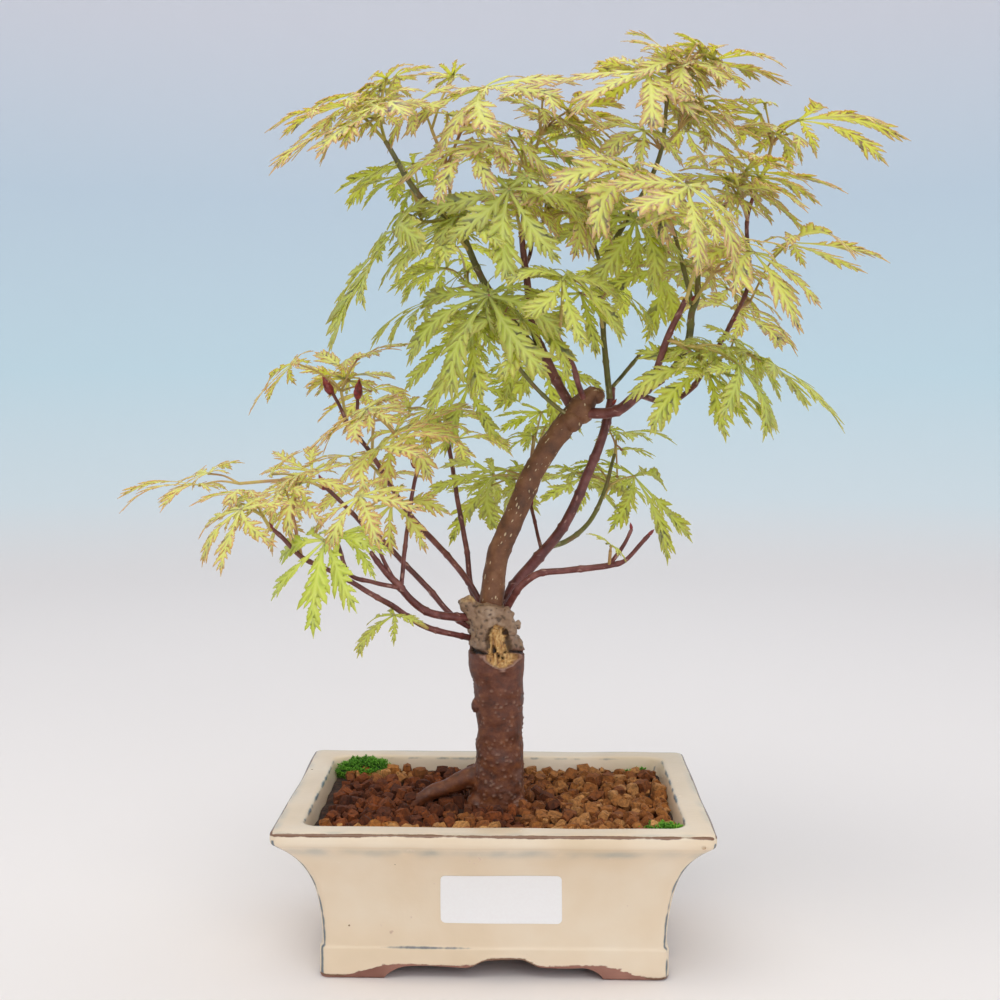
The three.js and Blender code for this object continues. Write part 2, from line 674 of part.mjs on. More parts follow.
// Each spray is a twig with its leaves: [point of the twig that the leaf stalk leaves, leaf base, main tip].
const sprays = [
  {
    name: "leaves_top_left",
    on: ["crown_branch_left"],
    tint: "sun",
    twig: [[-47, -14, 288], [-50, -9, 298]],
    leaves: [[1, [-51, -22, 297], [-94, -44, 272]], [1, [-50, 6, 313], [-88, 16, 304]]],
  },
  {
    name: "leaves_top_middle",
    on: ["crown_branch_left"],
    tint: "sun",
    twig: [[-19, -6, 255], [-22, -5, 278], [-28, -7, 294]],
    leaves: [
      [2, [-33, -10, 305], [-35, -30, 286]],
      [1, [-6, -8, 311], [2, -52, 284]],
      [2, [-20, 12, 319], [-34, 26, 325]],
      [1, [-8, -22, 285], [-28, -44, 258]],
    ],
  },
  {
    name: "leaves_left_hanging",
    on: ["crown_branch_left"],
    tint: "green",
    twig: [[-20, -7, 256], [-32, -9, 255]],
    leaves: [[1, [-44, -10, 251], [-71, -24, 200]], [1, [-38, 22, 284], [-69, 40, 267]]],
  },
  {
    name: "leaves_crown_centre",
    on: ["crown_stem_left"],
    tint: "green",
    twig: [[10, 0, 251], [8, -4, 260]],
    leaves: [[1, [5, -30, 266], [5, -50, 226]], [1, [9, 14, 284], [22, 50, 295]]],
  },
  {
    name: "leaves_crown_top",
    on: ["crown_stem_middle"],
    tint: "sun",
    twig: [[72, -2, 308], [73, 1, 315]],
    leaves: [
      [1, [62, -12, 317], [26, -36, 296]],
      [1, [87, 6, 323], [126, 14, 316]],
      [1, [76, 24, 329], [75, 52, 342]],
    ],
  },
  {
    name: "leaves_far_right_top",
    on: ["right_shoot"],
    tint: "sun",
    twig: [[119.4, 26.3, 283.4], [121, 23, 293]],
    leaves: [[1, [130, 10, 301], [176, -2, 291]], [1, [117, 30, 307], [90, 46, 305]]],
  },
  {
    name: "leaves_crown_front",
    on: ["crown_stem_middle"],
    tint: "sun",
    twig: [[65, 8, 273], [61, -8, 274]],
    leaves: [[1, [56, -34, 272], [41, -72, 243]], [1, [40, 52, 280], [34, 88, 262]]],
  },
  {
    name: "leaves_right_front",
    on: ["right_stem_front"],
    tint: "sun",
    twig: [[77, -36, 220], [81, -40, 236]],
    leaves: [[1, [76, -46, 265], [77, -84, 229]], [1, [106, -26, 241], [96, -66, 219]]],
  },
  {
    name: "leaves_right_top",
    on: ["right_shoot"],
    tint: "sun",
    twig: [[112, 30, 260], [108, 22, 268]],
    leaves: [
      [1, [105, -4, 277], [146, -22, 267]],
      [1, [104, 44, 290], [135, 76, 290]],
      [1, [96, 66, 262], [104, 98, 240]],
    ],
  },
  {
    name: "leaves_far_right",
    on: ["right_shoot"],
    tint: "sun",
    twig: [[107, 24, 220], [114, 32, 224]],
    leaves: [[1, [124, -6, 247], [165, -22, 239]], [1, [108, 46, 222], [140, 76, 204]]],
  },
  {
    name: "leaves_right_low",
    on: ["right_stem_front"],
    tint: "green",
    twig: [[71, -26, 205], [82, -30, 202]],
    leaves: [[1, [99, -36, 195], [107, -52, 165]], [1, [88, -20, 193], [65, -44, 166]]],
  },
  {
    name: "leaf_right_low_back",
    on: ["right_shoot"],
    tint: "green",
    twig: [[93, 12, 196], [101, 4, 200]],
    leaves: [[1, [112, -10, 197], [149, -14, 168]]],
  },
  {
    name: "leaves_right_inner",
    on: ["right_stem_back"],
    tint: "green",
    twig: [[77, 13, 253], [72, 24, 250]],
    leaves: [[1, [74, 32, 239], [65, 52, 207]], [1, [60, 70, 240], [62, 100, 214]]],
  },
  {
    name: "leaf_middle_front",
    on: ["crown_twig_dark"],
    tint: "green",
    twig: [[26, -20, 205], [27, -28, 218]],
    leaves: [[1, [27, -36, 230], [36, -58, 200]]],
  },
  {
    name: "leaves_middle_left",
    on: ["crown_twig_front"],
    tint: "green",
    twig: [[3, -12, 201], [0, -18, 212]],
    leaves: [[1, [-3, -30, 223], [-13, -46, 180]], [1, [-13, 24, 186], [-21, 40, 153]]],
  },
  {
    name: "leaves_left_inner",
    on: ["crown_branch_left"],
    tint: "green",
    twig: [[-5, 0, 229], [-13, 4, 229]],
    leaves: [[1, [-27, -1, 223], [-55, -13, 203]], [1, [-20, 50, 250], [-36, 84, 232]]],
  },
  {
    name: "leaves_centre_back",
    on: ["crown_stem_left"],
    tint: "green",
    twig: [[21, 10, 199], [18, 24, 208]],
    leaves: [[1, [22, 38, 196], [27, 60, 163]], [1, [0, 58, 218], [-12, 94, 200]]],
  },
  {
    name: "leaves_side_twig",
    on: ["side_twig"],
    tint: "green",
    twig: [[15, 26, 130], [14, 34, 142]],
    leaves: [
      [1, [-2, 28, 145], [-28, 44, 113]],
      [1, [-3, 54, 141], [15, 80, 137]],
      [1, [20, 62, 173], [13, 86, 154]],
    ],
  },
  {
    name: "leaves_left_arch_top",
    on: ["left_arch"],
    tint: "orange",
    twig: [[-33, -14, 151], [-38, -18, 158]],
    leaves: [[1, [-51, -24, 174], [-78, -42, 159]], [1, [-49, -30, 160], [-28, -57, 157]]],
  },
  {
    name: "leaves_left_arch_front",
    on: ["left_arch"],
    tint: "orange",
    twig: [[-50.5, -37.2, 127], [-52, -42, 136]],
    leaves: [[1, [-54, -55, 142], [-46, -87, 125]], [1, [-45, -12, 135], [-28, -30, 117]]],
  },
  {
    name: "leaf_left_front_low",
    on: ["left_arch"],
    tint: "bright",
    twig: [[-64, -44, 120], [-65, -50, 125]],
    leaves: [[1, [-67, -62, 125], [-75, -84, 90]]],
  },
  {
    name: "leaves_left_low",
    on: ["left_lower_branch"],
    tint: "orange",
    twig: [[-89, -56, 128], [-92, -58, 134]],
    leaves: [[1, [-101, -46, 143], [-120, -62, 140]], [1, [-98, -72, 138], [-101, -98, 117]]],
  },
  {
    name: "leaves_far_left",
    on: ["left_upper_branch"],
    tint: "orange",
    twig: [[-77, 10, 140], [-86, 8, 144], [-100, 16, 143], [-118, 24, 141]],
    leaves: [
      [1, [-89, -20, 133], [-94, -34, 116]],
      [1, [-99, 0, 147], [-88, 10, 157]],
      [1, [-86, 32, 146], [-108, 52, 155]],
      [3, [-137, 27, 140], [-176, 34, 135]],
    ],
  },
  {
    name: "leaves_left_middle",
    on: ["left_middle_branch"],
    tint: "orange",
    twig: [[-51, 28, 143], [-56, 30, 147]],
    leaves: [[1, [-66, 16, 154], [-88, 26, 150]], [1, [-60, 56, 140], [-72, 88, 124]]],
  },
  {
    name: "leaves_left_back",
    on: ["left_back_branch"],
    tint: "sun",
    twig: [[-26, 42, 167], [-29, 34, 171]],
    leaves: [
      [1, [-39, 8, 176], [-58, -6, 178]],
      [1, [-31, 12, 170], [-28, -14, 158]],
      [1, [-20, 66, 160], [-16, 98, 144]],
    ],
  },
  {
    name: "leaves_left_top",
    on: ["left_middle_branch"],
    tint: "orange",
    twig: [[-70, 33.7, 168.8], [-73, 38, 183]],
    leaves: [
      [1, [-64, 28, 198], [-50, 4, 201]],
      [1, [-69, 48, 190], [-88, 72, 203]],
      [1, [-62, 62, 183], [-78, 86, 168]],
      [1, [-92, 22, 196], [-112, 10, 174]],
    ],
  },
  {
    name: "leaves_side_shoot",
    on: ["side_shoot"],
    tint: "green",
    twig: [[54, 42, 153], [55, 50, 158]],
    leaves: [[1, [56, 60, 163], [80, 78, 162]], [1, [57, 66, 142], [52, 94, 130]]],
  },
  {
    name: "leaves_side_shoot_low",
    on: ["side_shoot"],
    tint: "green",
    twig: [[48, 34, 134], [52, 38, 140]],
    leaves: [[1, [63, 40, 144], [82, 50, 101]], [1, [39, 56, 142], [21, 84, 129]]],
  },
  {
    name: "leaf_left_under",
    on: ["left_lower_branch"],
    tint: "green",
    twig: [[-29, -22, 83], [-34, -28, 87]],
    leaves: [[1, [-42, -36, 91], [-56, -52, 77]]],
  },
  {
    name: "leaf_right_young",
    on: ["low_right_branch"],
    tint: "green",
    twig: [[48, -20, 110], [48, -27, 117]],
    leaves: [[1, [48, -34, 120], [42, -46, 124]]],
  },
];

function spraySolid(spray) {
  const twig = onSoil(spray.twig);
  const radii = twig.map(() => petioleRadius + 0.1);
  const solids = [tube({ points: twig, radii, sides: 4 })];
  for (const [node, at, tip] of spray.leaves) {
    const [base, end] = onSoil([at, tip]);
    const frame = bladeFrame(base, end);
    const start = new THREE.Vector3(...twig[node]);
    const hub = frame.centre.clone().addScaledVector(frame.normal, -0.25 * leafThickness);
    const bend = start.clone().lerp(hub, 0.5);
    bend.z += 0.08 * start.distanceTo(hub);
    const points = [start, bend, hub].map((point) => point.toArray());
    solids.push(tube({ points, radii: [petioleRadius], sides: 3 }));
    solids.push(bladeSolid(frame));
  }
  return joined(solids);
}

// ---- the object ----

const finishes = {
  glaze: { color: "#e8d7be", roughness: 0.28 },
  plastic_mesh: { color: "#2b2b2b", roughness: 0.6 },
  wire: { color: "#8a8178", roughness: 0.4, metalness: 1 },
  soil: { color: "#85553a", roughness: 0.95 },
  moss: { color: "#4f7a22", roughness: 0.95 },
  label: { color: "#f6f6f4", roughness: 0.5 },
  bark_old: { color: "#6f4a3a", roughness: 0.85 },
  bark_brown: { color: "#785030", roughness: 0.8 },
  bark_red: { color: "#6b332c", roughness: 0.6 },
  bark_green: { color: "#6a6a34", roughness: 0.6 },
  sun: { color: "#c8d25a", roughness: 0.55 },
  green: { color: "#93b23a", roughness: 0.55 },
  bright: { color: "#a4cc34", roughness: 0.55 },
  orange: { color: "#c9a85a", roughness: 0.55 },
};

const bonsai = new THREE.Group();

function addPart(parent, name, solid, finish) {
  const material = new THREE.MeshStandardMaterial({ metalness: 0, ...finishes[finish] });
  const mesh = new THREE.Mesh(geometryOf(solid), material);
  mesh.name = name;
  parent.add(mesh);
}

const holder = new THREE.Group();
addPart(holder, "pot", potSolid(), "glaze");
addPart(holder, "label", labelSolid(), "label");
for (const [side, name] of [[-1, "left"], [1, "right"]]) {
  addPart(holder, `drain_mesh_${name}`, drainMesh(side), "plastic_mesh");
  addPart(holder, `drain_wire_${name}`, drainWire(side), "wire");
}
addPart(holder, "soil", soilSolid(), "soil");
for (const tuft of mossTufts) addPart(holder, tuft.name, mossSolid(tuft.at, tuft.size), "moss");

const tree = new THREE.Group();
const wood = new Map([["trunk", trunkSolid]]);
for (const branch of branches) wood.set(branch.name, (grow) => branchSolid(branch, grow));

function clearOf(solid, names) {
  return names.reduce((left, name) => left.subtract(wood.get(name)(clearance)), solid);
}

addPart(tree, "trunk", trunkSolid(0), "bark_old");
for (const branch of branches) {
  addPart(tree, branch.name, clearOf(branchSolid(branch, 0), branch.on), branch.colour);
}
for (const spray of sprays) {
  addPart(tree, spray.name, clearOf(spraySolid(spray), spray.on), spray.tint);
}

bonsai.add(holder, tree);
export default bonsai;
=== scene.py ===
import bpy
import math
import random
import numpy as np
from mathutils import Matrix, Vector, noise


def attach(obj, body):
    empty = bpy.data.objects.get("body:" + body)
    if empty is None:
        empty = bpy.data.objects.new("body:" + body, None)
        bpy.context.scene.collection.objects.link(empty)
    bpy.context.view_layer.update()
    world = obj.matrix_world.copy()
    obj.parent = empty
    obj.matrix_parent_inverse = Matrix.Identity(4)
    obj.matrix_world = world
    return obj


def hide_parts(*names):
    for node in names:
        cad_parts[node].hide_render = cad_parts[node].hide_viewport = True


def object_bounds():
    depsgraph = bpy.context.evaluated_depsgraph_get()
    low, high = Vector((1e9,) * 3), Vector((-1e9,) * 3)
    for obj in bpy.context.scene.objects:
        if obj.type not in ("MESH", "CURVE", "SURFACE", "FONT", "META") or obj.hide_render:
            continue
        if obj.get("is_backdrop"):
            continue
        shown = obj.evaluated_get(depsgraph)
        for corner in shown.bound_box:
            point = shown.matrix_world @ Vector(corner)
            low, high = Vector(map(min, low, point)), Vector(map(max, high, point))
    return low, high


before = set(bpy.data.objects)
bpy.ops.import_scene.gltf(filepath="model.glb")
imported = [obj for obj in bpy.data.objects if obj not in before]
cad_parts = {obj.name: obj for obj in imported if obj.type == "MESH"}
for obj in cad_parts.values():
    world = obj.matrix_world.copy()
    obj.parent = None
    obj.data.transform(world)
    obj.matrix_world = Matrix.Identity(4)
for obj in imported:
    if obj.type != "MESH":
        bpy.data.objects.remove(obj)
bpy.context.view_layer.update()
MM = 0.001

# ---- Camera, floor and studio light ----
# The bonsai stands in a round pale studio sweep, seen level with the middle of the tree.
# Big soft boxes above the front left and right light it almost without shadows.


def linear(hex_colour):
    channels = [int(hex_colour[i:i + 2], 16) / 255 for i in (1, 3, 5)]
    curve = [c / 12.92 if c <= 0.04045 else ((c + 0.055) / 1.055) ** 2.4 for c in channels]
    return (*curve, 1.0)


def add_node(tree, kind, values=None, links=None, ramp=(), **settings):
    """One node: values by input name or index, links from an output socket to an input, ramp colours by place."""
    node = tree.nodes.new(kind)
    for key, value in settings.items():
        setattr(node, key, value)
    for key, value in (values or {}).items():
        node.inputs[key].default_value = value
    for key, socket in (links or {}).items():
        tree.links.new(socket, node.inputs[key])
    for mark, (place, tone) in enumerate(ramp):
        stop = node.color_ramp.elements[mark] if mark < 2 else node.color_ramp.elements.new(place)
        stop.position = place
        stop.color = linear(tone)
    return node


def new_material(name):
    """A material with one Principled shader, its tree and that shader."""
    made = bpy.data.materials.new(name)
    made.use_nodes = True
    return made, made.node_tree, made.node_tree.nodes["Principled BSDF"]


camera_pitch = math.radians(4.85)
camera_yaw = math.radians(0.91)
camera_roll = math.radians(-0.15)
ahead = Vector((-math.sin(camera_yaw) * math.cos(camera_pitch),
                math.cos(camera_yaw) * math.cos(camera_pitch), -math.sin(camera_pitch)))
level = Vector((math.cos(camera_yaw), math.sin(camera_yaw), 0))
upright = level.cross(ahead)
side = level * math.cos(camera_roll) - upright * math.sin(camera_roll)
camera = bpy.data.objects.new("camera", bpy.data.cameras.new("camera"))
camera.data.lens = 50.4
camera.data.sensor_width = 36
camera.data.clip_start = 0.01
camera.matrix_world = Matrix((side, side.cross(ahead), -ahead)).transposed().to_4x4()
camera.location = Vector((0.01096, -0.6106, 0.2478))
bpy.context.scene.collection.objects.link(camera)
bpy.context.scene.camera = camera
bpy.context.scene.view_settings.view_transform = "Standard"

sweep_mesh = bpy.data.meshes.new("sweep")
sweep_path = [(0.4, 0.0), (1.2, 0.0)]
sweep_path += [(1.2 + 1.1 * math.sin(a), 1.1 - 1.1 * math.cos(a)) for a in np.linspace(0.08, 1.5, 20)]
sweep_path += [(2.32, 2.2)]
sweep_spokes = 96
sweep_points = [(0.0, 0.0, 0.0)]
for radius, z in sweep_path:
    for spoke in range(sweep_spokes):
        turn = 2 * math.pi * spoke / sweep_spokes
        sweep_points.append((radius * math.cos(turn), radius * math.sin(turn), z))
sweep_faces = [(0, 1 + s, 1 + (s + 1) % sweep_spokes) for s in range(sweep_spokes)]
for ring in range(len(sweep_path) - 1):
    for s in range(sweep_spokes):
        a, b = 1 + ring * sweep_spokes + s, 1 + ring * sweep_spokes + (s + 1) % sweep_spokes
        sweep_faces.append((a, a + sweep_spokes, b + sweep_spokes, b))
sweep_mesh.from_pydata(sweep_points, [], sweep_faces)
sweep_mesh.polygons.foreach_set("use_smooth", [True] * len(sweep_faces))
sweep = bpy.data.objects.new("sweep", sweep_mesh)
bpy.context.scene.collection.objects.link(sweep)
sweep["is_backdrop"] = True

# Painted board, white underfoot and turning pale blue-grey towards the top.
sweep_paint, tree, shader = new_material("painted_sweep")
spot = add_node(tree, "ShaderNodeTexCoord").outputs["Object"]
height = add_node(tree, "ShaderNodeSeparateXYZ", links={0: spot}).outputs["Z"]
rise = add_node(tree, "ShaderNodeMapRange", {1: 0.0, 2: 1.2}, {0: height}).outputs[0]
tree.links.new(add_node(tree, "ShaderNodeValToRGB", links={0: rise}, ramp=[(0, "#ece6e3"), (0.06, "#dfe9ec"), (0.22, "#d0e6ee"), (0.5, "#cfdeea"), (0.8, "#e4e3ea"), (1, "#eae6ea")]).outputs[0],
               shader.inputs["Base Color"])
shader.inputs["Roughness"].default_value = 0.9
sweep_mesh.materials.append(sweep_paint)


def soft_box(name, place, aim, size, power, tone):
    lamp = bpy.data.lights.new(name, "AREA")
    lamp.shape = "RECTANGLE"
    lamp.size, lamp.size_y = size
    lamp.energy = power
    lamp.color = linear(tone)[:3]
    holder = bpy.data.objects.new(name, lamp)
    holder.location = place
    holder.rotation_euler = (Vector(aim) - Vector(place)).to_track_quat("-Z", "Y").to_euler()
    holder.visible_camera = False
    bpy.context.scene.collection.objects.link(holder)


soft_box("box_over", (-0.35, -0.55, 1.55), (0, 0, 0.2), (1.3, 1.0), 10.5, "#fffaf2")
soft_box("box_front", (0.55, -1.15, 0.75), (0, 0, 0.15), (1.0, 0.8), 4.5, "#ffffff")
soft_box("box_back", (0.3, 0.9, 1.9), (0, 0.4, 0.0), (1.6, 1.0), 6, "#f4f9ff")
world = bpy.data.worlds.new("studio")
world.use_nodes = True
world.node_tree.nodes["Background"].inputs["Color"].default_value = linear("#eef2f6")
world.node_tree.nodes["Background"].inputs["Strength"].default_value = 0.75
bpy.context.scene.world = world

# ---- Pot ----
# A press-moulded stoneware bonsai pot: a broad rim over a waisted body on four corner feet.
# Thick cream glaze pulls back from each arris as it melts and shows iron brown and blue-grey there;
# the feet and the underside are wiped to bare reddish clay.

POT_LENGTH = 180
POT_WIDTH = 130
POT_HEIGHT = 67
FOOT_BAND = 13.5
RIM_UNDERSIDE = 61
FOOT_INSET = 17


def wall_inset(z):
    """How far the wall stands in from the rim's edge at a height, a concave sweep."""
    share = min(max((z - FOOT_BAND) / (RIM_UNDERSIDE - FOOT_BAND), 0), 1)
    return 0.8 + 17.2 * (1 - 0.5 * share ** 2 - 0.5 * share ** 5)


def rounded_ring(inset, z, radius, corner_steps=8, long_steps=54, short_steps=40):
    half = (POT_LENGTH / 2 - inset, POT_WIDTH / 2 - inset)
    points = []
    for corner in range(4):
        middle = ((1 if corner in (0, 3) else -1) * (half[0] - radius), (1 if corner < 2 else -1) * (half[1] - radius))
        for step in range(corner_steps + 1):
            turn = (corner + step / corner_steps) * math.pi / 2
            points.append((middle[0] + radius * math.cos(turn), middle[1] + radius * math.sin(turn), z))
        steps = long_steps if corner % 2 == 0 else short_steps
        span = 2 * (half[0] - radius) if corner % 2 == 0 else 2 * (half[1] - radius)
        way = ((-1, 0), (0, -1), (1, 0), (0, 1))[corner]
        start = points[-1]
        for step in range(1, steps):
            points.append((start[0] + way[0] * span * step / steps, start[1] + way[1] * span * step / steps, z))
    return points


def hand_pressed(point):
    """The small unevenness of a pot pressed in a mould by hand."""
    drift = noise.noise_vector(Vector(point) / 34)
    return (point[0] + 0.55 * drift.x, point[1] + 0.55 * drift.y, point[2] + 0.3 * drift.z)


def new_piece(name, points, faces, smooth=True):
    """A mesh object from points in millimetres."""
    mesh = bpy.data.meshes.new(name)
    mesh.from_pydata([(x * MM, y * MM, z * MM) for x, y, z in points], [], faces)
    mesh.polygons.foreach_set("use_smooth", [smooth] * len(faces))
    piece = bpy.data.objects.new(name, mesh)
    bpy.context.scene.collection.objects.link(piece)
    return piece


def settle(piece):
    """Turns a piece's modifiers into its plain mesh."""
    graph = bpy.context.evaluated_depsgraph_get()
    plain = bpy.data.meshes.new_from_object(piece.evaluated_get(graph))
    piece.modifiers.clear()
    piece.data = plain
    return piece


def cut_away(piece, cutter):
    tool = piece.modifiers.new("cut", "BOOLEAN")
    tool.operation = "DIFFERENCE"
    tool.solver = "EXACT"
    tool.object = cutter
    settle(piece)
    bpy.data.objects.remove(cutter)


def prism(outline, low, high, axis):
    """A closed bar of one outline, along an axis, to cut with."""
    ends = []
    for depth in (low, high):
        ends += [{"y": (a, depth, b), "x": (depth, a, b), "z": (a, b, depth)}[axis] for a, b in outline]
    count = len(outline)
    faces = [(i, (i + 1) % count, count + (i + 1) % count, count + i) for i in range(count)]
    faces += [tuple(range(count))[::-1], tuple(range(count, 2 * count))]
    if axis == "y":
        faces = [face[::-1] for face in faces]
    return new_piece("cutter", ends, faces)


def points_of(piece):
    """A piece's own points in millimetres."""
    found = np.zeros(len(piece.data.vertices) * 3)
    piece.data.vertices.foreach_get("co", found)
    return found.reshape(-1, 3) / MM


def store(piece, name, values):
    mark = piece.data.attributes.new(name, "FLOAT", "POINT")
    mark.data.foreach_set("value", np.asarray(values, dtype=np.float32))


def belongs(piece, slot, *nodes):
    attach(piece, "root")
    if nodes:
        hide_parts(*nodes)


outer_rows = [(0, 18.6), (0.0, 17.9), (0.4, 17.3), (1.2, FOOT_INSET)]
outer_rows += [(z, FOOT_INSET) for z in (2.6, 4.1, 5.6, 7, 8.6, 10, 11.2, 12.0, 12.5)]
outer_rows += [(12.9, 17.1), (13.2, 17.35), (13.5, 17.75), (13.9, 17.95)]
outer_rows += [(z, wall_inset(z)) for z in np.linspace(14.6, 60.2, 34)]
outer_rows += [(60.8, 1.3), (61.2, 0.75), (61.7, 0.35), (62.4, 0.1), (63.4, 0), (64.5, 0), (65.2, 0), (65.6, 0.04)]
outer_rows += [(65.9, 0.12), (66.2, 0.28), (66.45, 0.5), (66.65, 0.8), (66.8, 1.2), (66.92, 1.8), (67, 2.6)]
outer_rows += [(67.05, 4.5), (67.05, 6.5), (67.0, 8.4)]
inner_rows = [(66.95, 9.6), (66.85, 10.3), (66.6, 10.9), (66.25, 11.3), (65.8, 11.6), (65.2, 11.85), (64.5, 12.1)]
inner_rows += [(63.2, 12.5), (61.5, 12.9), (58, 13.8), (53, 17), (49, wall_inset(49) + 6)]
inner_rows += [(42, wall_inset(42) + 6), (35, wall_inset(35) + 6), (20, 23.5), (14, 25.5)]
rings = [rounded_ring(inset, z, 4.0) for z, inset in outer_rows]
rings += [rounded_ring(inset, z, 8.0) for z, inset in inner_rows]
around = len(rings[0])
pot_points = [hand_pressed(point) for ring in rings for point in ring] + [(0, 0, 0), (0, 0, 14)]
pot_faces = []
for row in range(len(rings) - 1):
    for i in range(around):
        j = (i + 1) % around
        pot_faces.append((row * around + i, row * around + j, (row + 1) * around + j, (row + 1) * around + i))
last_row = (len(rings) - 1) * around
for i in range(around):
    j = (i + 1) % around
    pot_faces.append((len(pot_points) - 2, j, i))
    pot_faces.append((len(pot_points) - 1, last_row + i, last_row + j))
pot = new_piece("glazed_pot", pot_points, pot_faces)


def apron_edge(place, half_span, rise):
    """Height of the apron's lower edge between two feet: a low gap with a raised middle."""
    near = min(max((half_span - abs(place)) / 10, 0), 1)
    middle = min(max((0.34 * half_span - abs(place - 4)) / 9, 0), 1)
    wave = 0.35 * math.sin(place / 6.1)
    return (5.4 + wave) * math.sin(near * math.pi / 2) ** 0.7 + rise * middle * middle * (3 - 2 * middle)


def gap_outline(half_span, rise):
    places = np.linspace(-half_span, half_span, 61)
    return [(half_span, -1), (-half_span, -1)] + [(p, apron_edge(p, half_span, rise)) for p in places]


cut_away(pot, prism([(-67, -42), (67, -42), (67, 42), (-67, 42)], -1, 8.5, "z"))
cut_away(pot, prism(gap_outline(46, 3)[::-1], -70, 70, "y"))
cut_away(pot, prism(gap_outline(25, 0)[::-1], -95, 95, "x"))
for drain_x in (-38, 38):
    turns = np.linspace(0, 2 * math.pi, 32, endpoint=False)
    cut_away(pot, prism([(drain_x + 7.5 * math.cos(t), 7.5 * math.sin(t)) for t in turns], 2, 20, "z"))
pit_turns = np.linspace(0, 2 * math.pi, 14, endpoint=False)
cut_away(pot, prism([(84 + 0.9 * math.cos(t), 62.6 + 0.75 * math.sin(t)) for t in pit_turns], -66.5, -64.2, "y"))
pot.data.set_sharp_from_angle(angle=math.radians(40))

# Where the glaze thins: 1 on the arris itself, fading out over a millimetre or two.
spots = points_of(pot)
x_of, y_of, z_of = spots.T
from_edge = np.minimum(POT_LENGTH / 2 - abs(x_of), POT_WIDTH / 2 - abs(y_of))
lumpy = np.array([noise.noise(Vector((x / 5, y / 5, z / 5))) for x, y, z in spots])
beaded = np.array([noise.noise(Vector((x / 7, y / 7, 2.5))) for x, y in zip(x_of, y_of)])
rim_arris = np.exp(-(((from_edge - 0.55) / 0.75) ** 2 + ((z_of - 66.3) / 0.85) ** 2)) * (0.95 + 0.6 * beaded)
corner_arris = np.exp(-((abs(25 - abs(x_of) + abs(y_of)) / 1.3) ** 2)) * (z_of < 64) * (0.9 + 0.7 * lumpy)
# The grey band under the rim's overhang, at z 58, is painted shade. The patches along the top outer arris are thinner
# glaze.
rim_shade_and_thin_glaze = np.exp(-(((z_of - 58.0) / 2.2) ** 2)) * (from_edge < 9) * (0.6 + beaded)
rim_shade_and_thin_glaze += 0.9 * np.exp(-(((from_edge - 1.5) / 1.3) ** 2 + ((z_of - 66.6) / 1.3) ** 2)) * (0.45 - beaded)
inner_arris = np.exp(-(((from_edge - 11.4) / 0.9) ** 2 + ((z_of - 65.9) / 1.1) ** 2))
inner_arris *= np.where(abs(y_of) < 50, 0.7, np.where(y_of > 50, 0.45, 0.0)) * (0.9 + 0.9 * lumpy)
ledge = np.exp(-(((z_of - 13.3) / 0.55) ** 2)) * (abs(from_edge - 17.6) < 1.5)
ledge *= np.where((y_of < 0) & (abs(x_of + 27) < 24), 0.25 + 0.75 * np.cos((x_of + 27) / 24 * math.pi / 2), 0.2)
edge_heights = np.array([apron_edge(p, 46, 3) for p in x_of])
apron = np.exp(-(((z_of - edge_heights) / 0.7) ** 2)) * (abs(x_of) < 46) * (abs(y_of) > 41.5)
side_heights = np.array([apron_edge(p, 25, 0) for p in y_of])
apron += np.exp(-(((z_of - side_heights) / 0.7) ** 2)) * (abs(y_of) < 25) * (abs(x_of) > 66.5)
foot_rim = np.exp(-(((z_of - 0.7) / 0.9) ** 2))
pit = np.exp(-(((x_of - 84) / 1.0) ** 2 + ((z_of - 62.6) / 0.9) ** 2)) * (y_of < -60)
store(pot, "iron_break", np.clip(rim_arris + 0.75 * apron + foot_rim + 0.35 * ledge + 0.7 * pit, 0, 1))
store(pot, "blue_break", np.clip(corner_arris + inner_arris + 0.85 * ledge + 0.5 * apron + 0.45 * rim_arris, 0, 1))
bare = (abs(x_of) < 67.2) & (abs(y_of) < 42.2) & (z_of < 9)
foot_slope = np.clip((64 - abs(x_of)) / 18, 0, 1) * 5.2 * (abs(y_of) > 41.5) * (abs(x_of) < 64)
below_glaze = np.clip((foot_slope - z_of) / 2.0 + 0.5, 0, 1) * (foot_slope > 0)
store(pot, "bare_clay", np.where(bare | (z_of < 0.35), 1.0, below_glaze))
store(pot, "rim_shade_and_thin_glaze", np.clip(rim_shade_and_thin_glaze, 0, 1))

# Glazed stoneware: soft gloss over a faint orange-peel skin, warm cream with darker pools and specks.
glaze, tree, shader = new_material("cream_stoneware_glaze")
spot = add_node(tree, "ShaderNodeTexCoord").outputs["Object"]
cloud = add_node(tree, "ShaderNodeTexNoise", {"Scale": 26.0, "Detail": 3.0}, {"Vector": spot}).outputs["Fac"]
cream = add_node(tree, "ShaderNodeValToRGB", links={0: cloud}, ramp=[(0.3, "#e5ceae"), (0.5, "#ecd6b9"), (0.7, "#f0dec5")]).outputs[0]
fray = add_node(tree, "ShaderNodeTexNoise", {"Scale": 420.0, "Detail": 3.0}, {"Vector": spot}).outputs["Fac"]
patch = add_node(tree, "ShaderNodeTexNoise", {"Scale": 70.0, "Detail": 2.0}, {"Vector": spot}).outputs["Fac"]
ragged = add_node(tree, "ShaderNodeMath", {2: -0.5}, {0: fray, 1: patch}, operation="ADD").outputs[0]


def break_mask(tree, attribute, low, high):
    """An arris value, frayed by noise, as a mask with a soft edge."""
    mark = add_node(tree, "ShaderNodeAttribute", attribute_name=attribute).outputs["Fac"]
    lifted = add_node(tree, "ShaderNodeMath", {1: 0.45, 2: -0.43}, {0: ragged}, operation="MULTIPLY_ADD").outputs[0]
    worn = add_node(tree, "ShaderNodeMath", links={0: mark, 1: lifted}, operation="ADD").outputs[0]
    return add_node(tree, "ShaderNodeMapRange", {1: low, 2: high}, {0: worn}, interpolation_type="SMOOTHSTEP").outputs[0]


